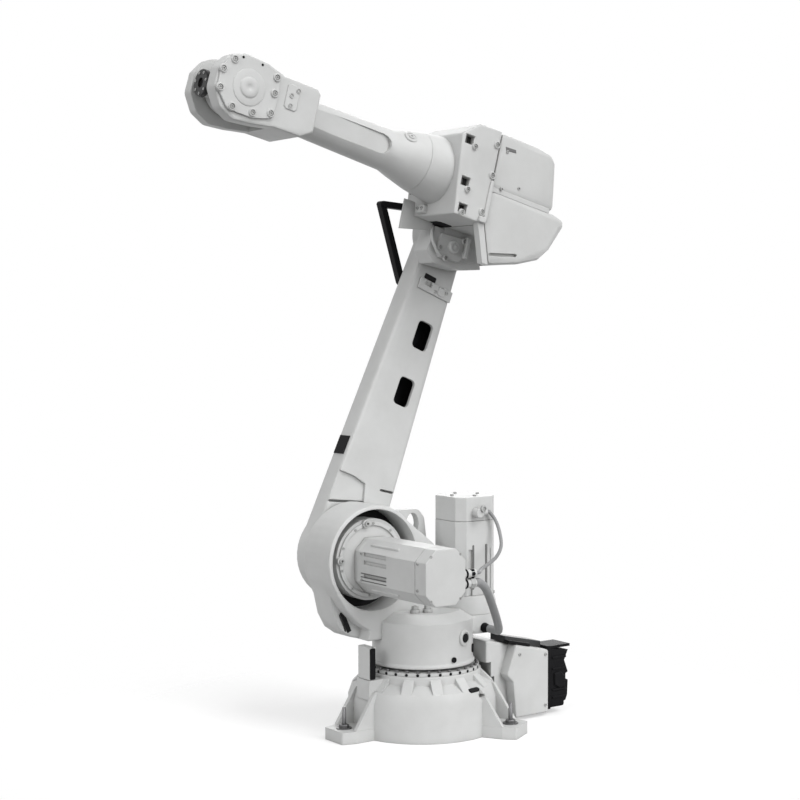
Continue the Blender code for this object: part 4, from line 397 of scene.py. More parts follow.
def studio_world():
    """An even pale surround: plain white to the camera and in gloss, softer as light on the object."""
    world = bpy.data.worlds.new("studio")
    world.use_nodes = True
    bpy.context.scene.world = world
    tree = world.node_tree
    light = tree.nodes["Background"]
    light.inputs["Color"].default_value = (1.0, 1.0, 1.0, 1.0)
    place = tree.nodes.new("ShaderNodeTexCoord")
    split = add_node(tree, "ShaderNodeSeparateXYZ", [("Vector", place.outputs["Generated"])])
    height = add_node(tree, "ShaderNodeMapRange",
                      [("Value", split.outputs["Z"]), ("From Min", -0.7), ("From Max", 0.8),
                       ("To Min", GROUND_STRENGTH), ("To Max", SKY_STRENGTH)])
    tree.links.new(height.outputs["Result"], light.inputs["Strength"])
    white = add_node(tree, "ShaderNodeBackground", [("Color", (1.0, 1.0, 1.0, 1.0)), ("Strength", 1.0)])
    path = tree.nodes.new("ShaderNodeLightPath")
    either = add_node(tree, "ShaderNodeMath", [(0, path.outputs["Is Camera Ray"]),
                                               (1, path.outputs["Is Glossy Ray"])], operation="MAXIMUM")
    any_kind = add_node(tree, "ShaderNodeMath", [(0, either.outputs[0]),
                                                 (1, path.outputs["Is Transmission Ray"])],
                        operation="MAXIMUM")
    choose = add_node(tree, "ShaderNodeMixShader", [(0, any_kind.outputs[0]), (1, light.outputs[0]),
                                                    (2, white.outputs[0])])
    tree.links.new(choose.outputs[0], tree.nodes["World Output"].inputs["Surface"])


def soft_sun(name, source, strength):
    """A distant lamp as wide as a studio softbox, shining from the given direction."""
    lamp = bpy.data.lights.new(name, "SUN")
    lamp.angle = SOFTBOX_ANGLE
    lamp.energy = strength
    item = bpy.data.objects.new(name, lamp)
    item.rotation_euler = Vector(source).to_track_quat("Z", "Y").to_euler()
    bpy.context.scene.collection.objects.link(item)


studio_floor()
studio_world()
soft_sun("key", (-0.18, 0.60, 0.78), 1.45)
soft_sun("front", (-0.25, 0.90, 0.28), 0.94)
soft_sun("left_fill", (0.90, 0.30, 0.35), 0.75)
soft_sun("back_fill", (-0.60, -0.75, 0.30), 0.45)


# Pieces: places, surfaces and meshes

def unit(vector):
    """The vector over its own length."""
    vector = np.asarray(vector, dtype=float)
    return vector / np.linalg.norm(vector, axis=-1, keepdims=True)


def in_world(place, points):
    """Own-frame millimetres to metres: origin + x forward + y side + z up."""
    origin, forward, up = place
    spot = np.asarray(points, dtype=float) * MM
    return (np.array(origin) + spot[..., 0:1] * unit(forward) + spot[..., 1:2] * np.array([0.0, 1.0, 0.0])
            + spot[..., 2:3] * unit(up))


def turned_direction(place, directions):
    """Own-frame directions in the shared frame."""
    _, forward, up = place
    own = np.atleast_2d(np.asarray(directions, dtype=float))
    return unit(own[..., 0:1] * unit(forward) + own[..., 1:2] * np.array([0.0, 1.0, 0.0])
                + own[..., 2:3] * unit(up))


def new_piece(name, body, points, faces, material):
    """A mesh object from points and faces, with crisp edges over 30 degrees, that rides on a body."""
    mesh = bpy.data.meshes.new(name)
    mesh.from_pydata(points, [], faces)
    mesh.materials.append(material)
    mesh.polygons.foreach_set("use_smooth", np.ones(len(mesh.polygons), dtype=bool))
    mesh.set_sharp_from_angle(angle=SHARP_ANGLE)
    piece = bpy.data.objects.new(name, mesh)
    bpy.context.scene.collection.objects.link(piece)
    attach(piece, body)


def ring_faces(rows, columns, copies=1, closed_ends=True):
    """Quads between neighbouring rings of each copy, and one many-sided face over each end ring."""
    one = rows * columns
    row, column, copy = np.meshgrid(np.arange(rows - 1), np.arange(columns), np.arange(copies), indexing="ij")
    start = copy * one + row * columns
    after = (column + 1) % columns
    quads = np.stack([start + column, start + after, start + columns + after, start + columns + column],
                     axis=-1)
    faces = quads.reshape(-1, 4).tolist()
    if closed_ends:
        ring = np.arange(columns)
        bottom = np.arange(copies)[:, None] * one + ring[::-1]
        top = np.arange(copies)[:, None] * one + (rows - 1) * columns + ring
        faces += bottom.tolist() + top.tolist()
    return faces


def turned_set(name, body, place, spots, direction, profile, material, slot, sides=20):
    """Copies of one turned piece: radius(angle, height) = a profile's radius, pulled towards a hexagon by
    its share, so that cos 30 / cos(angle within a sixth - 30) of it is left between the corners."""
    profile = np.array(profile, dtype=float)
    angle = np.linspace(0, 2 * np.pi, sides, endpoint=False)
    six = np.cos(np.pi / 6) / np.cos(np.mod(angle, np.pi / 3) - np.pi / 6)
    share = profile[:, 2:3]
    radius = profile[:, 0:1] * ((1 - share) + share * six)
    spots = np.atleast_2d(np.asarray(spots, dtype=float))
    axis = np.broadcast_to(turned_direction(place, direction), (len(spots), 3))
    other = np.where(np.abs(axis[:, 2:3]) < 0.9, [[0.0, 0.0, 1.0]], [[1.0, 0.0, 0.0]])
    first = unit(np.cross(other, axis))
    second = np.cross(axis, first)
    height = np.broadcast_to(profile[:, 1:2], radius.shape)
    offsets = [(radius * np.cos(angle), first), (radius * np.sin(angle), second), (height, axis)]
    points = in_world(place, spots)[:, None, None, :] + MM * sum(
        amount[None, :, :, None] * heading[:, None, None, :] for amount, heading in offsets)
    faces = ring_faces(len(profile), sides, len(spots))
    new_piece(name, body, points.reshape(-1, 3), faces, material)


def inset(outline, distance):
    """An outline moved inwards: each corner goes along the sum of its two edge normals by a mitred length."""
    outline = np.asarray(outline, dtype=float)
    along = unit(np.roll(outline, -1, axis=0) - outline)
    normal = np.stack([-along[:, 1], along[:, 0]], axis=1)
    both = normal + np.roll(normal, 1, axis=0)
    mitre = both / np.maximum((both ** 2).sum(axis=1, keepdims=True) / 2, 0.5)
    return outline + distance * mitre


def slab(name, body, place, outline, low, high, material, slot, chamfer=1.0, axis="y"):
    """An outline carried straight along one own axis, its far rim drawn in by a chamfer."""
    outline = np.asarray(outline, dtype=float)
    x, y = outline.T
    if (x * np.roll(y, -1) - np.roll(x, -1) * y).sum() < 0:
        outline = outline[::-1]
    forward = 1.0 if high > low else -1.0
    rows = [(outline, low), (outline, high - forward * chamfer), (inset(outline, chamfer), high)]
    order = {"y": (0, 2, 1), "x": (1, 2, 0), "z": (0, 1, 2)}[axis]
    stack = np.stack([np.column_stack([ring, np.full(len(ring), level)]) for ring, level in rows])
    points = np.empty_like(stack)
    for source, target in enumerate(order):
        points[..., target] = stack[..., source]
    faces = ring_faces(len(rows), len(outline))
    if (forward < 0) != (axis == "y"):
        faces = [face[::-1] for face in faces]
    new_piece(name, body, in_world(place, points).reshape(-1, 3), faces, material)


def box_outline(x_low, x_high, z_low, z_high, corner=0.0):
    """A rectangle, its corners cut by a given length."""
    if not corner:
        return [(x_low, z_low), (x_high, z_low), (x_high, z_high), (x_low, z_high)]
    return [(x_low + corner, z_low), (x_high - corner, z_low), (x_high, z_low + corner),
            (x_high, z_high - corner), (x_high - corner, z_high), (x_low + corner, z_high),
            (x_low, z_high - corner), (x_low, z_low + corner)]


def tube(name, body, place, route, radius, material, slot, sides=14):
    """A round section carried along a smooth route: centre + radius (cos a side + sin a up), closed ends."""
    line = in_world(place, smooth_route(route))
    heading = unit(np.gradient(line, axis=0))
    side = unit(np.cross(heading, [0.0, 0.0, 1.0]))
    up = np.cross(side, heading)
    angle = np.linspace(0, 2 * np.pi, sides, endpoint=False)
    points = line[:, None, :] + radius * MM * (
        np.cos(angle)[None, :, None] * side[:, None, :] + np.sin(angle)[None, :, None] * up[:, None, :])
    faces = [face[::-1] for face in ring_faces(len(line), sides)]
    new_piece(name, body, points.reshape(-1, 3), faces, material)


def hoop(name, body, place, centre, direction, radius, thick, material, slot, sides=64):
    """A closed ring of round section: (R + t cos b) round the axis, t sin b along it."""
    turn = np.linspace(0, 2 * np.pi, sides, endpoint=False)
    section = np.linspace(0, 2 * np.pi, 10, endpoint=False)
    axis = turned_direction(place, direction)[0]
    first = unit(np.cross([0.0, 0.0, 1.0], axis))
    second = np.cross(axis, first)
    spoke = np.cos(turn)[:, None] * first + np.sin(turn)[:, None] * second
    reach = radius + thick * np.cos(section)
    points = in_world(place, centre) + MM * (
        reach[None, :, None] * spoke[:, None, :] + (thick * np.sin(section))[None, :, None] * axis)
    faces = [face[::-1] for face in ring_faces(sides, len(section), closed_ends=False)]
    last = (sides - 1) * len(section)
    ring = np.arange(len(section))
    after = (ring + 1) % len(section)
    faces += np.stack([last + ring, ring, after, last + after], axis=-1).tolist()
    new_piece(name, body, points.reshape(-1, 3), faces, material)


def socket_screw(radius, height, sink=1.0):
    """The profile of a cap screw: (radius, height, hexagon share), from its seat to the socket's floor."""
    bevel = 0.14 * radius
    key = 0.52 * radius
    return [(radius, -sink, 0), (radius, height - bevel, 0), (radius - bevel, height, 0), (key, height, 1),
            (key, height - 0.55 * height - 1.0, 1)]


def hexagon_bolt(radius, height, washer, sink=1.0):
    """The profile of a hexagon bolt on a flat washer."""
    bevel = 0.16 * radius
    return [(radius * 1.5, -sink, 0), (radius * 1.5, washer, 0), (radius, washer, 1),
            (radius, height - bevel, 1), (radius - bevel, height, 0.6)]


def seat(radius, height, hole, depth, sink=1.0):
    """The profile of a cast boss with a round sink in its face."""
    slope = 0.12 * radius
    return [(radius + slope, -sink, 0), (radius, height * 0.5, 0), (radius - slope, height, 0),
            (hole, height, 0), (hole, height - depth, 0)]


def circle_spots(centre, radius, count, first=0.0, plane="xz", level=0.0):
    """Spots evenly spaced on a circle in a plane of two own axes, at a level on the third."""
    angle = np.radians(first) + np.arange(count) * 2 * np.pi / count
    a, b = centre[0] + radius * np.cos(angle), centre[1] + radius * np.sin(angle)
    rest = np.full(count, level)
    return np.column_stack({"xz": (a, rest, b), "xy": (a, b, rest), "yz": (rest, a, b)}[plane])


NEAR, FAR, UP, FRONT, BACK = (0, 1, 0), (0, -1, 0), (0, 0, 1), (1, 0, 0), (-1, 0, 0)

# What an added piece rides on, with the frame its millimetres are counted in
ON_BASE = ("base", WORLD)
ON_FRAME = ("turning_frame", WORLD)
ON_ARM = ("lower_arm", LOWER_ARM)
ON_ELBOW = ("elbow", ELBOW)
ON_FOREARM = ("forearm", FOREARM)
ON_TILT = ("tilt", TOOL)
ON_TOOL = ("tool", TOOL)

# Finish of the added pieces, each paired with a slot name
PAINTED = (PAINT, "robot_paint")
MOULDED_SKIN = (MOULDED, "robot_paint")
BRIGHT = (SCREW, "steel")
DARK_STEEL = (STEEL, "steel")
RUBBER = (BLACK, "black_plastic")
# painted shade: near black and mid grey stand-ins for shade
BLACK_SHADE = (BLACK_SHADE_FINISH, "black_plastic")
SHADE = (SHADED, "black_plastic")


def bossed_screws(name, on, spots, direction, radius, height, screw):
    """Cast bosses with a cap screw sunk in each."""
    boss = seat(radius, height, screw * 1.25, height * 0.8)
    turned_set(name + "_bosses", *on, spots, direction, boss, *PAINTED, sides=24)
    turned_set(name + "_screws", *on, spots, direction, socket_screw(screw, height * 0.75, 0.5), *BRIGHT,
               sides=24)


# Wrist, in the forearm's millimetres

WRIST_AXIS = (795, -1.7)
WRIST_COVER_FACE = 78.3
WRIST_HUB_FACE = 80.3
FORK_FACE = 72.6
FORK_PAD_FACE = 75.4
WRIST_PAD = box_outline(658, 694, -16, 46, 6)
WRIST_PAD_SCREWS = [(679.5, 73, 18.5), (677.5, 73, -5.8), (664, 73, 35)]
WRIST_RIM_SLOTS = [(825.5, 77.0, 60.8), (772.9, 77.0, 60.7)]
WRIST_SCREWS = [(869.5, 18.6), (867.6, -25.3), (828.1, -58.6), (773.3, -55.0), (726.3, -40.9), (727.3, 7.3),
                (729.6, 44.9), (846.0, 49.0)]
FAR_SCREWS_END = 860
HUB_CAP = [(44, -3, 0), (43, -1.2, 0), (41, -0.6, 0), (25, -0.6, 0), (24, 0.8, 0), (21, 2.4, 0), (9, 2.8, 0),
           (6, 1.4, 0), (3, 0.4, 0)]
TILT_SIDE = 31.6
TILT_SEAL = [(54, -0.6, 0), (55, 2.2, 0), (54, 4.4, 0), (50, 5.2, 0)]
FLANGE_FACE = 85.6
FLANGE_SCREW = [(3.4, -0.5, 0), (3.4, 0.5, 0), (3.0, 0.8, 0), (1.7, 0.8, 1), (1.7, 0.1, 1)]


def wrist_details():
    """Screws in their bosses, hub caps and pads on both cheeks of the fork; seals and screws of the head."""
    near = [(x, WRIST_COVER_FACE, z) for x, z in WRIST_SCREWS]
    far = [(x, -WRIST_COVER_FACE, z) for x, z in WRIST_SCREWS if x < FAR_SCREWS_END]
    bossed_screws("wrist_near", ON_FOREARM, near, NEAR, 10.0, 4.0, 5.2)
    bossed_screws("wrist_far", ON_FOREARM, far, FAR, 10.0, 4.0, 5.2)
    for side, sign, facing in (("near", 1, NEAR), ("far", -1, FAR)):
        hub = (WRIST_AXIS[0], sign * WRIST_HUB_FACE, WRIST_AXIS[1])
        turned_set(f"wrist_hub_{side}", *ON_FOREARM, [hub], facing, HUB_CAP, *PAINTED, sides=48)
    # painted shade: dark discs stand in for the shade in the rim's slots
    turned_set("wrist_rim_slot_shade", *ON_FOREARM, WRIST_RIM_SLOTS, NEAR,
               [(3.2, -1, 0), (3.2, 2.0, 0), (2.6, 2.4, 0)], BLACK_SHADE_FINISH, "steel", sides=12)
    bossed_screws("wrist_pad", ON_FOREARM, WRIST_PAD_SCREWS, NEAR, 7.0, 4.0, 3.8)
    for side, sign in (("near", 1), ("far", -1)):
        slab(f"wrist_pad_{side}", *ON_FOREARM, WRIST_PAD, sign * FORK_FACE, sign * FORK_PAD_FACE, *PAINTED,
             chamfer=1.6)
    for side, sign, facing in (("near", 1, NEAR), ("far", -1, FAR)):
        turned_set(f"tilt_seal_{side}", *ON_TILT, [(0, sign * TILT_SIDE, 0)], facing, TILT_SEAL, *RUBBER,
                   sides=64)
    turned_set("flange_screws", *ON_TOOL, circle_spots((0, 0), 25, 7, 10, "yz", FLANGE_FACE), FRONT,
               FLANGE_SCREW, *BRIGHT, sides=12)


# Forearm tube

TUBE_PORT = [(19, -6, 0), (18, 1.5, 0), (16, 3.0, 0), (12.5, 3.2, 0), (11.5, 1.2, 0), (8.5, 1.2, 0),
             (7.5, 4.2, 0), (3.5, 4.6, 1), (3.5, 2.0, 1)]


def forearm_details():
    """The round port on the tube's upper flank, square to the flank."""
    turned_set("tube_port", *ON_FOREARM, [(306, 45.5, 42.5)], (0.12, 0.74, 0.64), TUBE_PORT, *PAINTED,
               sides=36)


# Elbow, in its own millimetres

ELBOW_FACE = 104
ELBOW_FAR_FACE = -108
ELBOW_TOP = 243.8
ELBOW_FRONT = 173
ELBOW_SCREWS = [(82.7, 204.4), (79, 124.1), (88, 24)]
POCKETS = [(169.8, 190), (157.6, 84), (149.8, 16)]
POCKET_HALF = (12.4, 10.4)
POCKET_FLOOR = 89.6
POCKET_SCREWS = [(150.7, 178.0), (146.7, 66.2), (150, 5)]
COVER_SEAM = box_outline(-131, 69, 85, 99, 2)
COVER_SCREWS = [(45.4, 104, 197.8), (40, 103.4, 100), (-14, 104, 118)]
COVER_RECESS = [(54, 209), (20, 211), (17, 203), (50, 200)]
SEAM_RIB = [(70, 2), (80, 2), (82, 60), (80, 108), (76, 112), (70, 108)]
GEAR_FACE = -46
GEAR_SCREWS = [(6.7, -57.3), (88, -62), (64, -84), (14, -25)]
GEAR_CAP = [(17, -2, 0), (17, 8, 0), (15, 11, 0), (11, 11.6, 0), (10, 10, 0), (5.5, 10, 1), (5.5, 13, 1),
            (4.6, 14, 1)]
GEAR_LEAD = [(112, -62, -10), (118, -52, -30), (114, -46, -52), (96, -44, -74), (80, -46, -82)]


def elbow_pockets():
    """A lip over each cast pocket of the elbow, and its floor in painted shade, darker towards the rear."""
    half_x, half_z = POCKET_HALF
    for index, (x, z) in enumerate(POCKETS):
        slab(f"elbow_pocket_lip_{index + 1}", *ON_ELBOW, box_outline(x - 14, x + 14, z + 11, z + 15, 1.5),
             ELBOW_FACE - 0.5, 109.0, *PAINTED, chamfer=1.2)
        floor = box_outline(x - half_x, x + half_x, z - half_z, z + half_z, 1.5)
        slab(f"elbow_pocket_shade_{index + 1}", *ON_ELBOW, floor, POCKET_FLOOR, POCKET_FLOOR + 1.2, *SHADE,
             chamfer=0.3)
        # painted shade: near black over the rear part of each pocket's floor
        rear = box_outline(x - half_x + 0.2, x - 1, z - half_z + 0.2, z + half_z - 0.2, 1.5)
        slab(f"elbow_pocket_dark_{index + 1}", *ON_ELBOW, rear, POCKET_FLOOR + 0.1, POCKET_FLOOR + 2.0, *BLACK_SHADE,
             chamfer=0.3)


def gear_block_details():
    """Screws, cap, bracket and lead on the face of the third gear housing."""
    gear = [(x, GEAR_FACE, z) for x, z in GEAR_SCREWS]
    bossed_screws("gear_block", ON_ELBOW, gear, NEAR, 8.0, 5.0, 4.4)
    turned_set("gear_block_cap", *ON_ELBOW, [(46, GEAR_FACE, -50)], NEAR, GEAR_CAP, *PAINTED, sides=32)
    slab("gear_block_bracket", *ON_ELBOW, box_outline(0, 12, -70, -14), GEAR_FACE - 0.5, -34, *PAINTED,
         chamfer=1.5)
    tube("gear_block_lead", *ON_ELBOW, GEAR_LEAD, 4.2, *PAINTED)


def elbow_details():
    """Screws, pockets, seams and small blocks of the elbow's housing and its rear covers, with painted shade
    in the cover's recess, under the neck and in the bracket's slot.
    """
    near = [(x, ELBOW_FACE, z) for x, z in ELBOW_SCREWS]
    bossed_screws("elbow_near", ON_ELBOW, near, NEAR, 10.0, 4.0, 5.2)
    below = [(x, ELBOW_FACE, z) for x, z in POCKET_SCREWS]
    bossed_screws("elbow_pocket", ON_ELBOW, below, NEAR, 9.0, 5.0, 5.0)
    elbow_pockets()
    for side, low, high in (("near", 90, 101.2), ("far", -105.2, -94)):
        slab(f"cover_seam_{side}", *ON_ELBOW, COVER_SEAM, low, high, *MOULDED_SKIN, chamfer=1.5)
    slab("elbow_seam_rib", *ON_ELBOW, SEAM_RIB, ELBOW_FACE - 0.5, 109.5, *PAINTED, chamfer=2.0)
    slab("elbow_seam_block", *ON_ELBOW, box_outline(74, 96, -2, 13, 2), ELBOW_FACE - 0.5, 112.0, *PAINTED,
         chamfer=1.5)
    # painted shade: a grey plate stands in for the cover's recess
    slab("cover_pocket_shade", *ON_ELBOW, COVER_RECESS, 103.7, 104.7, *SHADE, chamfer=0.3)
    turned_set("cover_screws", *ON_ELBOW, COVER_SCREWS, NEAR, socket_screw(4.6, 2.4, 1.5), *BRIGHT, sides=18)
    top = [(112, y, ELBOW_TOP) for y in (-70, -20, 30, 75)]
    turned_set("elbow_top_screws", *ON_ELBOW, top, UP, socket_screw(6.0, 4.5), *BRIGHT, sides=18)
    far = [(x, ELBOW_FAR_FACE, z) for x in (90, 150) for z in (30, 110, 205)]
    turned_set("elbow_far_screws", *ON_ELBOW, far, FAR, socket_screw(6.5, 4.5), *BRIGHT, sides=18)
    gear_block_details()
    slab("neck_foot_block", *ON_ELBOW, box_outline(-46, -12, 2, 24, 3), ELBOW_FRONT, 187, *PAINTED,
         chamfer=2.0, axis="x")
    turned_set("neck_foot_screws", *ON_ELBOW, [(187, -38, 13), (187, -20, 13)], FRONT,
               socket_screw(4.4, 3.4), *BRIGHT, sides=16)
    # painted shade: a black sheet where the gap under the neck lies in shadow
    slab("under_neck_painted_shade", *ON_ELBOW, box_outline(76, 128, -86, -20, 8), -3.6, -4.8, *BLACK_SHADE, chamfer=0.3,
         axis="z")
    # painted shade: a black strip stands in for the bracket's slot
    slab("bracket_slot_shade", *ON_ELBOW, box_outline(-99, -75, 56, 60, 1.5), 178.6, 179.6, *BLACK_SHADE, chamfer=0.3,
         axis="x")


# Shoulder: gear cover, bore and second motor, in the shared frame's millimetres

SHOULDER_AXIS = (150, 445)
SHOULDER_X, SHOULDER_Z = SHOULDER_AXIS
GEAR_COVER_RADIUS = 93
GEAR_COVER_FACE = -10
GEAR_RIM_FACE = -14
BORE_RADIUS = 129.5
BORE_EDGE = 3.2
BORE_FLOOR = -67.8
MOTOR_TWO_END_SCREWS = [(181, 282, 486), (181, 282, 378), (93, 282, 486), (93, 282, 378)]
MOTOR_TWO_SIDE = 197
MOTOR_TWO_OUTLINE = [(77, 393), (77, 471), (107, 501), (167, 501), (197.5, 471), (197.5, 393), (167, 363),
                     (107, 363)]
MOTOR_TWO_SIDE_SCREWS = [(249, 466.9), (249, 402.1), (12, 466), (12, 400)]
PLUG_LEVELS = (408, 432)
PLUG_SIDE = 260.3
END_SCREW = [(3.6, -1, 0), (3.6, 0.3, 0), (2.0, 0.3, 1), (2.0, -0.8, 1)]
HOSE_NUT = [(12.5, -10, 1), (13.8, -9, 1), (13.8, 3, 1), (12.5, 4, 1)]
LEAD_NUT = [(11.8, -8, 1), (12.6, -7, 1), (12.6, 2, 1), (11.8, 3, 1)]
PLUG_BAND = [(11.2, -3, 0), (12.2, -2, 0), (12.2, 2, 0), (11.2, 3, 0)]
SPARE_PLUG = [(5.6, -4, 0), (5.6, 9, 0), (4.6, 10, 0), (3.0, 10, 0), (3.0, 8, 0)]
DRUM_TOP_PLUGS = [(54, 42, 306), (22, 52, 306)]
DRUM_TOP_PLUG = [(13, -2, 0), (13, 7, 0), (12, 9, 0), (9, 9, 0), (9, 16, 1), (8, 18, 1), (4, 18, 0),
                 (4, 14, 0)]
WEB_SLOT_CENTRE = (214.0, 289.0)
WEB_SLOT_LEAN = math.radians(24)
WEB_SLOT_HALF_LENGTH, WEB_SLOT_HALF_WIDTH = 29, 6.2


def shoulder_details():
    """Screws of the gear cover, the bore's edge and painted shade on its floor, the drum's top plugs with
    painted shade in their holes, and painted shade in the web's slot.

    The slot's corners are its centre plus half its length along and half its width across, leaning."""
    spots = [(SHOULDER_X + GEAR_COVER_RADIUS * math.cos(angle), GEAR_COVER_FACE,
              SHOULDER_Z + GEAR_COVER_RADIUS * math.sin(angle)) for angle in np.radians((80, 2))]
    turned_set("gear_cover_screws", *ON_FRAME, spots, NEAR, socket_screw(6.5, 5.0, 1), *BRIGHT, sides=20)
    turned_set("gear_cover_rim_screws", *ON_FRAME,
               circle_spots(SHOULDER_AXIS, 91, 10, 22, "xz", GEAR_RIM_FACE), NEAR, socket_screw(3.6, 1.6, 1),
               *BRIGHT, sides=14)
    hoop("bore_edge", *ON_FRAME, (SHOULDER_X, BORE_EDGE, SHOULDER_Z), NEAR, BORE_RADIUS, 1.6, *PAINTED,
         sides=96)
    second_motor_details()
    turned_set("drum_top_plugs", *ON_FRAME, DRUM_TOP_PLUGS, UP, DRUM_TOP_PLUG, *BRIGHT, sides=24)
    # painted shade: dark fillings in the top plugs' holes
    turned_set("drum_plug_hole_shade", *ON_FRAME, DRUM_TOP_PLUGS, UP, [(8.9, 8.8, 0), (8.9, 10, 0), (4, 14.4, 0)],
               *BLACK_SHADE, sides=24)
    # painted shade: a dark ring on the bore's floor
    turned_set("bore_floor_shade", *ON_FRAME, [(SHOULDER_X, BORE_FLOOR, SHOULDER_Z)], NEAR,
               [(126.8, -0.8, 0), (126.8, 0.9, 0)], *BLACK_SHADE, sides=96)
    along = np.array([math.sin(WEB_SLOT_LEAN), math.cos(WEB_SLOT_LEAN)])
    across = np.array([math.cos(WEB_SLOT_LEAN), -math.sin(WEB_SLOT_LEAN)])
    corners = np.array([[1, 1], [1, -1], [-1, -1], [-1, 1]])
    slot = (np.array(WEB_SLOT_CENTRE) + WEB_SLOT_HALF_LENGTH * corners[:, :1] * along
            + WEB_SLOT_HALF_WIDTH * corners[:, 1:] * across)
    # painted shade: a near black sheet on the web's slot
    slab("web_slot_shade", *ON_FRAME, slot, -36.3, -35.4, *BLACK_SHADE, chamfer=0.2)


def second_motor_details():
    """Flange, ledges and grooves of the second motor, the grooves as strips of painted shade, its screws, and
    the nuts and bands of its plugs.
    """
    turned_set("motor_two_end_screws", *ON_FRAME, MOTOR_TWO_END_SCREWS, NEAR, END_SCREW, *BRIGHT, sides=12)
    sides = [(MOTOR_TWO_SIDE, y, level) for y, level in MOTOR_TWO_SIDE_SCREWS]
    turned_set("motor_two_side_screws", *ON_FRAME, sides, FRONT, socket_screw(3.8, 2.2), *BRIGHT, sides=14)
    slab("motor_two_flange", *ON_FRAME, MOTOR_TWO_OUTLINE, -9, 3, *PAINTED, chamfer=2.0)
    for index, level in enumerate((487, 377)):
        slab(f"motor_two_ledge_{index + 1}", *ON_FRAME, box_outline(30, 150, level - 3.5, level + 3.5, 1.5),
             176, 183, *PAINTED, chamfer=1.5, axis="x")
    # painted shade: thin grey strips stand in for the grooves
    for index, level in enumerate((399, 408, 417)):
        slab(f"motor_two_groove_shade_{index + 1}", *ON_FRAME, box_outline(8, 120, level - 1.4, level + 1.4, 1.0),
             MOTOR_TWO_SIDE - 0.4, MOTOR_TWO_SIDE + 0.4, *SHADE, chamfer=0.2, axis="x")
    hose, lead = [(46, PLUG_SIDE, level) for level in PLUG_LEVELS]
    turned_set("motor_two_hose_nut", *ON_FRAME, [hose], FRONT, HOSE_NUT, *BRIGHT, sides=24)
    turned_set("motor_two_lead_nut", *ON_FRAME, [lead], FRONT, LEAD_NUT, *RUBBER, sides=24)
    turned_set("motor_two_plug_bands", *ON_FRAME, [(62, PLUG_SIDE, level) for level in PLUG_LEVELS], FRONT,
               PLUG_BAND, *RUBBER, sides=24)
    turned_set("motor_two_spare_plugs", *ON_FRAME, [(77.5, 262, 394)], BACK, SPARE_PLUG, *RUBBER, sides=16)


# First motor

MOTOR_ONE_AXIS = (-137, 0)
MOTOR_ONE_TOP = 592.0
MOTOR_ONE_FOOT = 336.0
MOTOR_ONE_NUT = [(9.5, -2, 1), (9.5, 4, 1), (8.5, 5, 1), (5, 5, 0), (5, 3, 0)]


def first_motor_details():
    """Screws on top and at the foot of the first motor, its plug's nut, two fin slots as strips of painted
    shade, and a rail.
    """
    turned_set("motor_one_top_screws", *ON_FRAME, circle_spots(MOTOR_ONE_AXIS, 42, 4, 0, "xy", MOTOR_ONE_TOP),
               UP, socket_screw(4.6, 4.6), *BRIGHT, sides=16)
    turned_set("motor_one_foot_screws", *ON_FRAME,
               circle_spots(MOTOR_ONE_AXIS, 74, 4, 45, "xy", MOTOR_ONE_FOOT), UP, socket_screw(6.0, 6.5),
               *BRIGHT, sides=18)
    turned_set("motor_one_plug_nut", *ON_FRAME, [(-131, 86.3, 563.3)], NEAR, MOTOR_ONE_NUT, *BRIGHT, sides=18)
    # painted shade: grey strips stand in for the fin slots
    for index, x in enumerate((-116, -158)):
        slab(f"motor_one_fin_slot_shade_{index + 1}", *ON_FRAME, box_outline(x - 3, x + 3, 352, 468, 2), 63.9, 64.5,
             *SHADE, chamfer=0.2)
    slab("motor_one_side_rail_1", *ON_FRAME, box_outline(-170, -160, 346, 470, 2), 63.6, 66.5, *PAINTED,
         chamfer=1.0)


# Turning frame: drum and lug; stop post of the base

DRUM_RADIUS = 133
DRUM_PLUG_ANGLE = math.radians(108)
DRUM_PLUG_LEVEL = 244
DRUM_PLUG_RING = [(21, -4, 0), (20, 1.0, 0), (18, 2.0, 0), (14.5, 2.0, 0), (14.5, 0.6, 0)]


def frame_details():
    """The ring round the drum's main plug, square to the drum; the lug's screw; the post's rubber pad."""
    out = (math.cos(DRUM_PLUG_ANGLE), math.sin(DRUM_PLUG_ANGLE), 0)
    turned_set("drum_plug_ring", *ON_FRAME, [(DRUM_RADIUS * out[0], DRUM_RADIUS * out[1], DRUM_PLUG_LEVEL)],
               out, DRUM_PLUG_RING, *PAINTED, sides=36)
    turned_set("lug_screw", *ON_FRAME, [(28, -62.2, 527)], NEAR, socket_screw(5.0, 3.5), *BRIGHT, sides=16)
    slab("post_pad", *ON_BASE, box_outline(174, 190, 151, 229, 2), 36.7, 39.6, *RUBBER, chamfer=1.0)


# Base

BEARING_BOLTS = 32
BEARING_BOLT_START = 4
BOLT_RING_RADIUS, BOLT_RING_TOP = 139.8, 165.8
NOTCH_RADIUS, NOTCH_LEVEL = 145.6, 162.0
FOOT_RADIUS = 243
FOOT_TOP = 30
FOOT_ANGLES = np.radians((0, 120, 240))
FOOT_STUD = [(5.5, -1, 0), (5.5, 26, 0), (4.4, 28, 0), (4.4, 40, 0), (3.4, 42, 0)]
SHELF_SLOT_ANGLES = np.radians(np.linspace(96.0, 104.0, 9))
SHELF_SLOT_RADIUS, SHELF_SLOT_LEVEL = 178.5, 120.6
SHELF_OUTWARD, SHELF_UPWARD = 0.47, 0.88


def spokes(angles):
    """Level unit directions (cos a, sin a, 0)."""
    return np.column_stack([np.cos(angles), np.sin(angles), np.zeros(len(angles))])


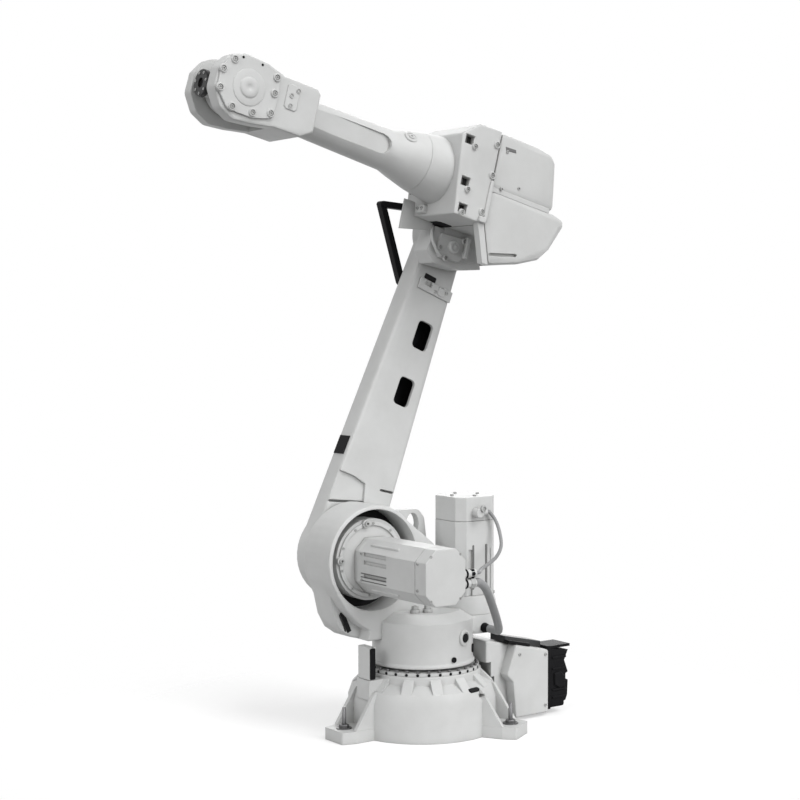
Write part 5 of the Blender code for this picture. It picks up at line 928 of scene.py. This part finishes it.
def base_details():
    """Bolts round the bearing with painted shade for the notches beside them, painted shade for the slot on
    the shelf's slope, the feet's bolts and studs.
    """
    turned_set("bearing_bolts", *ON_BASE,
               circle_spots((0, 0), BOLT_RING_RADIUS, BEARING_BOLTS, BEARING_BOLT_START, "xy", BOLT_RING_TOP),
               UP, socket_screw(4.4, 6.4), *DARK_STEEL, sides=16)
    # painted shade: dark discs on the ring's outer face stand in for shaded notches
    out = spokes(np.radians(np.arange(BEARING_BOLTS) * 360 / BEARING_BOLTS + BEARING_BOLT_START))
    turned_set("ring_notches", *ON_BASE, out * NOTCH_RADIUS + np.array([0, 0, NOTCH_LEVEL]), out,
               [(3.9, -1, 0), (3.9, 0.9, 0), (3.4, 1.2, 0)], *BLACK_SHADE, sides=14)
    # painted shade: a row of dark discs stands in for the slot
    out = spokes(SHELF_SLOT_ANGLES)
    turned_set("base_slot_shade", *ON_BASE, out * SHELF_SLOT_RADIUS + np.array([0, 0, SHELF_SLOT_LEVEL]),
               out * SHELF_OUTWARD + np.array([0, 0, SHELF_UPWARD]),
               [(6.4, -6, 0), (6.4, 2.6, 0), (5.6, 3.0, 0)], *BLACK_SHADE, sides=20)
    feet = FOOT_RADIUS * spokes(FOOT_ANGLES)
    turned_set("foot_bolts", *ON_BASE, feet + np.array([0, 0, FOOT_TOP]), UP, hexagon_bolt(13, 11, 2.5),
               *DARK_STEEL, sides=24)
    turned_set("foot_studs", *ON_BASE, feet + np.array([0, 0, FOOT_TOP + 12]), UP, FOOT_STUD, *DARK_STEEL,
               sides=16)


# Connector box

PLUG_SHELL = [(-349, 18), (-408, 30), (-414, 44), (-416, 84), (-408, 88), (-408, 102), (-416, 106),
              (-403, 139), (-416, 166), (-349, 180)]
PLUG_LATCH = [(-398, 70), (-380, 66), (-362, 78), (-362, 108), (-384, 112), (-400, 96)]
PLUG_RIB_LEVELS = (44, 64, 120, 150)
PLUG_NEAR_FACE = 97
HOUSING_FACE = 105.6
HOUSING_SCREWS = [(-326, 30), (-326, 165), (-238, 175)]
SIGNAL_PLUG_X, SIGNAL_PLUG_Y = -372, -58
SIGNAL_RING = [(21.5, -14, 0), (23, -12, 0), (23, -4, 0), (21, -2, 0), (15, -2, 0), (15, -6, 0)]


def connector_details():
    """Shell, ribs and latch of the power plug, screws of the box, and the rings of the signal plugs."""
    slab("power_plug_shell", *ON_BASE, PLUG_SHELL, 8, PLUG_NEAR_FACE, *RUBBER, chamfer=4.0)
    for index, z in enumerate(PLUG_RIB_LEVELS):
        slab(f"power_plug_rib_{index + 1}", *ON_BASE, box_outline(-404, -356, z - 3, z + 3, 1.5),
             PLUG_NEAR_FACE - 0.5, 101, *RUBBER, chamfer=1.2)
    slab("power_plug_latch", *ON_BASE, PLUG_LATCH, PLUG_NEAR_FACE - 0.5, 103, *RUBBER, chamfer=2.0)
    turned_set("end_cover_screws", *ON_BASE, [(-350, y, z) for y in (-90, 0) for z in (30, 170)], BACK,
               socket_screw(4.5, 3.5), *DARK_STEEL, sides=16)
    turned_set("housing_screws", *ON_BASE, [(x, HOUSING_FACE, z) for x, z in HOUSING_SCREWS], NEAR,
               socket_screw(4.6, 2.6), *BRIGHT, sides=16)
    for z in (60, 116):
        turned_set(f"signal_ring_{z}", *ON_BASE, [(SIGNAL_PLUG_X, SIGNAL_PLUG_Y, z)], BACK, SIGNAL_RING,
                   *DARK_STEEL, sides=32)


# Lower arm, in its own millimetres

ARM_LENGTH = 900
ARM_HUB_FACE = -202
ARM_CLIP_FACE = -118.5
WINDOW_LEVELS = (453, 612)
SHADE_REACH = 66
HOLLOW_FAR_WALL = -181


def hollow_rear_wall(along):
    """Where the hollow's rear wall lies at a height along the tapering arm: a straight line."""
    return -54.5 - 0.05 * (633 - along)


def lower_arm_details():
    """Screws of clip and hubs, a block of the clip with painted shade in a gap beside it, a nub in front, and
    painted shade in the hollow.

    The painted shade follows the far and the rear wall behind each window and leaves the window open."""
    clip = [(36, ARM_CLIP_FACE, 745), (-36, ARM_CLIP_FACE, 745), (0, ARM_CLIP_FACE, 735)]
    turned_set("clip_screws", *ON_ARM, clip, NEAR, socket_screw(5.0, 4.0), *BRIGHT, sides=16)
    turned_set("lower_hub_screws", *ON_ARM, circle_spots((0, 0), 64, 12, 15, "xz", ARM_HUB_FACE), FAR,
               socket_screw(5.5, 4.5, 1), *BRIGHT, sides=18)
    turned_set("elbow_hub_screws", *ON_ARM, circle_spots((0, ARM_LENGTH), 49, 10, 0, "xz", ARM_HUB_FACE), FAR,
               socket_screw(5.0, 4.2, 1), *BRIGHT, sides=18)
    # painted shade: black sheets inside the hollow behind each window
    for index, along in enumerate(WINDOW_LEVELS):
        wall = hollow_rear_wall(along)
        shade_outline = [(wall - 4, HOLLOW_FAR_WALL), (30, HOLLOW_FAR_WALL), (30, -178.5), (wall + 3, -178.5),
                  (wall + 3, -136), (wall - 4, -136)]
        slab(f"window_shade_{index + 1}", *ON_ARM, shade_outline, along - SHADE_REACH, along + SHADE_REACH, *BLACK_SHADE,
             chamfer=0.5, axis="z")
    slab("clip_block", *ON_ARM, box_outline(-30, -8, 729, 752, 3), -117.5, -113.8, *PAINTED, chamfer=2.0)
    # painted shade: a dark strip stands in for the gap by the clip
    slab("clip_gap_shade", *ON_ARM, box_outline(6, 44, 757, 771, 2), -123.5, -121.5, *BLACK_SHADE, chamfer=0.3)
    turned_set("front_nub", *ON_ARM, [(73, -155, 601)], FRONT, seat(7, 5, 3.4, 3, 4), *PAINTED, sides=20)


wrist_details()
forearm_details()
elbow_details()
shoulder_details()
first_motor_details()
frame_details()
base_details()
connector_details()
lower_arm_details()

dress_nodes()

bpy.context.scene.view_settings.view_transform = "Standard"
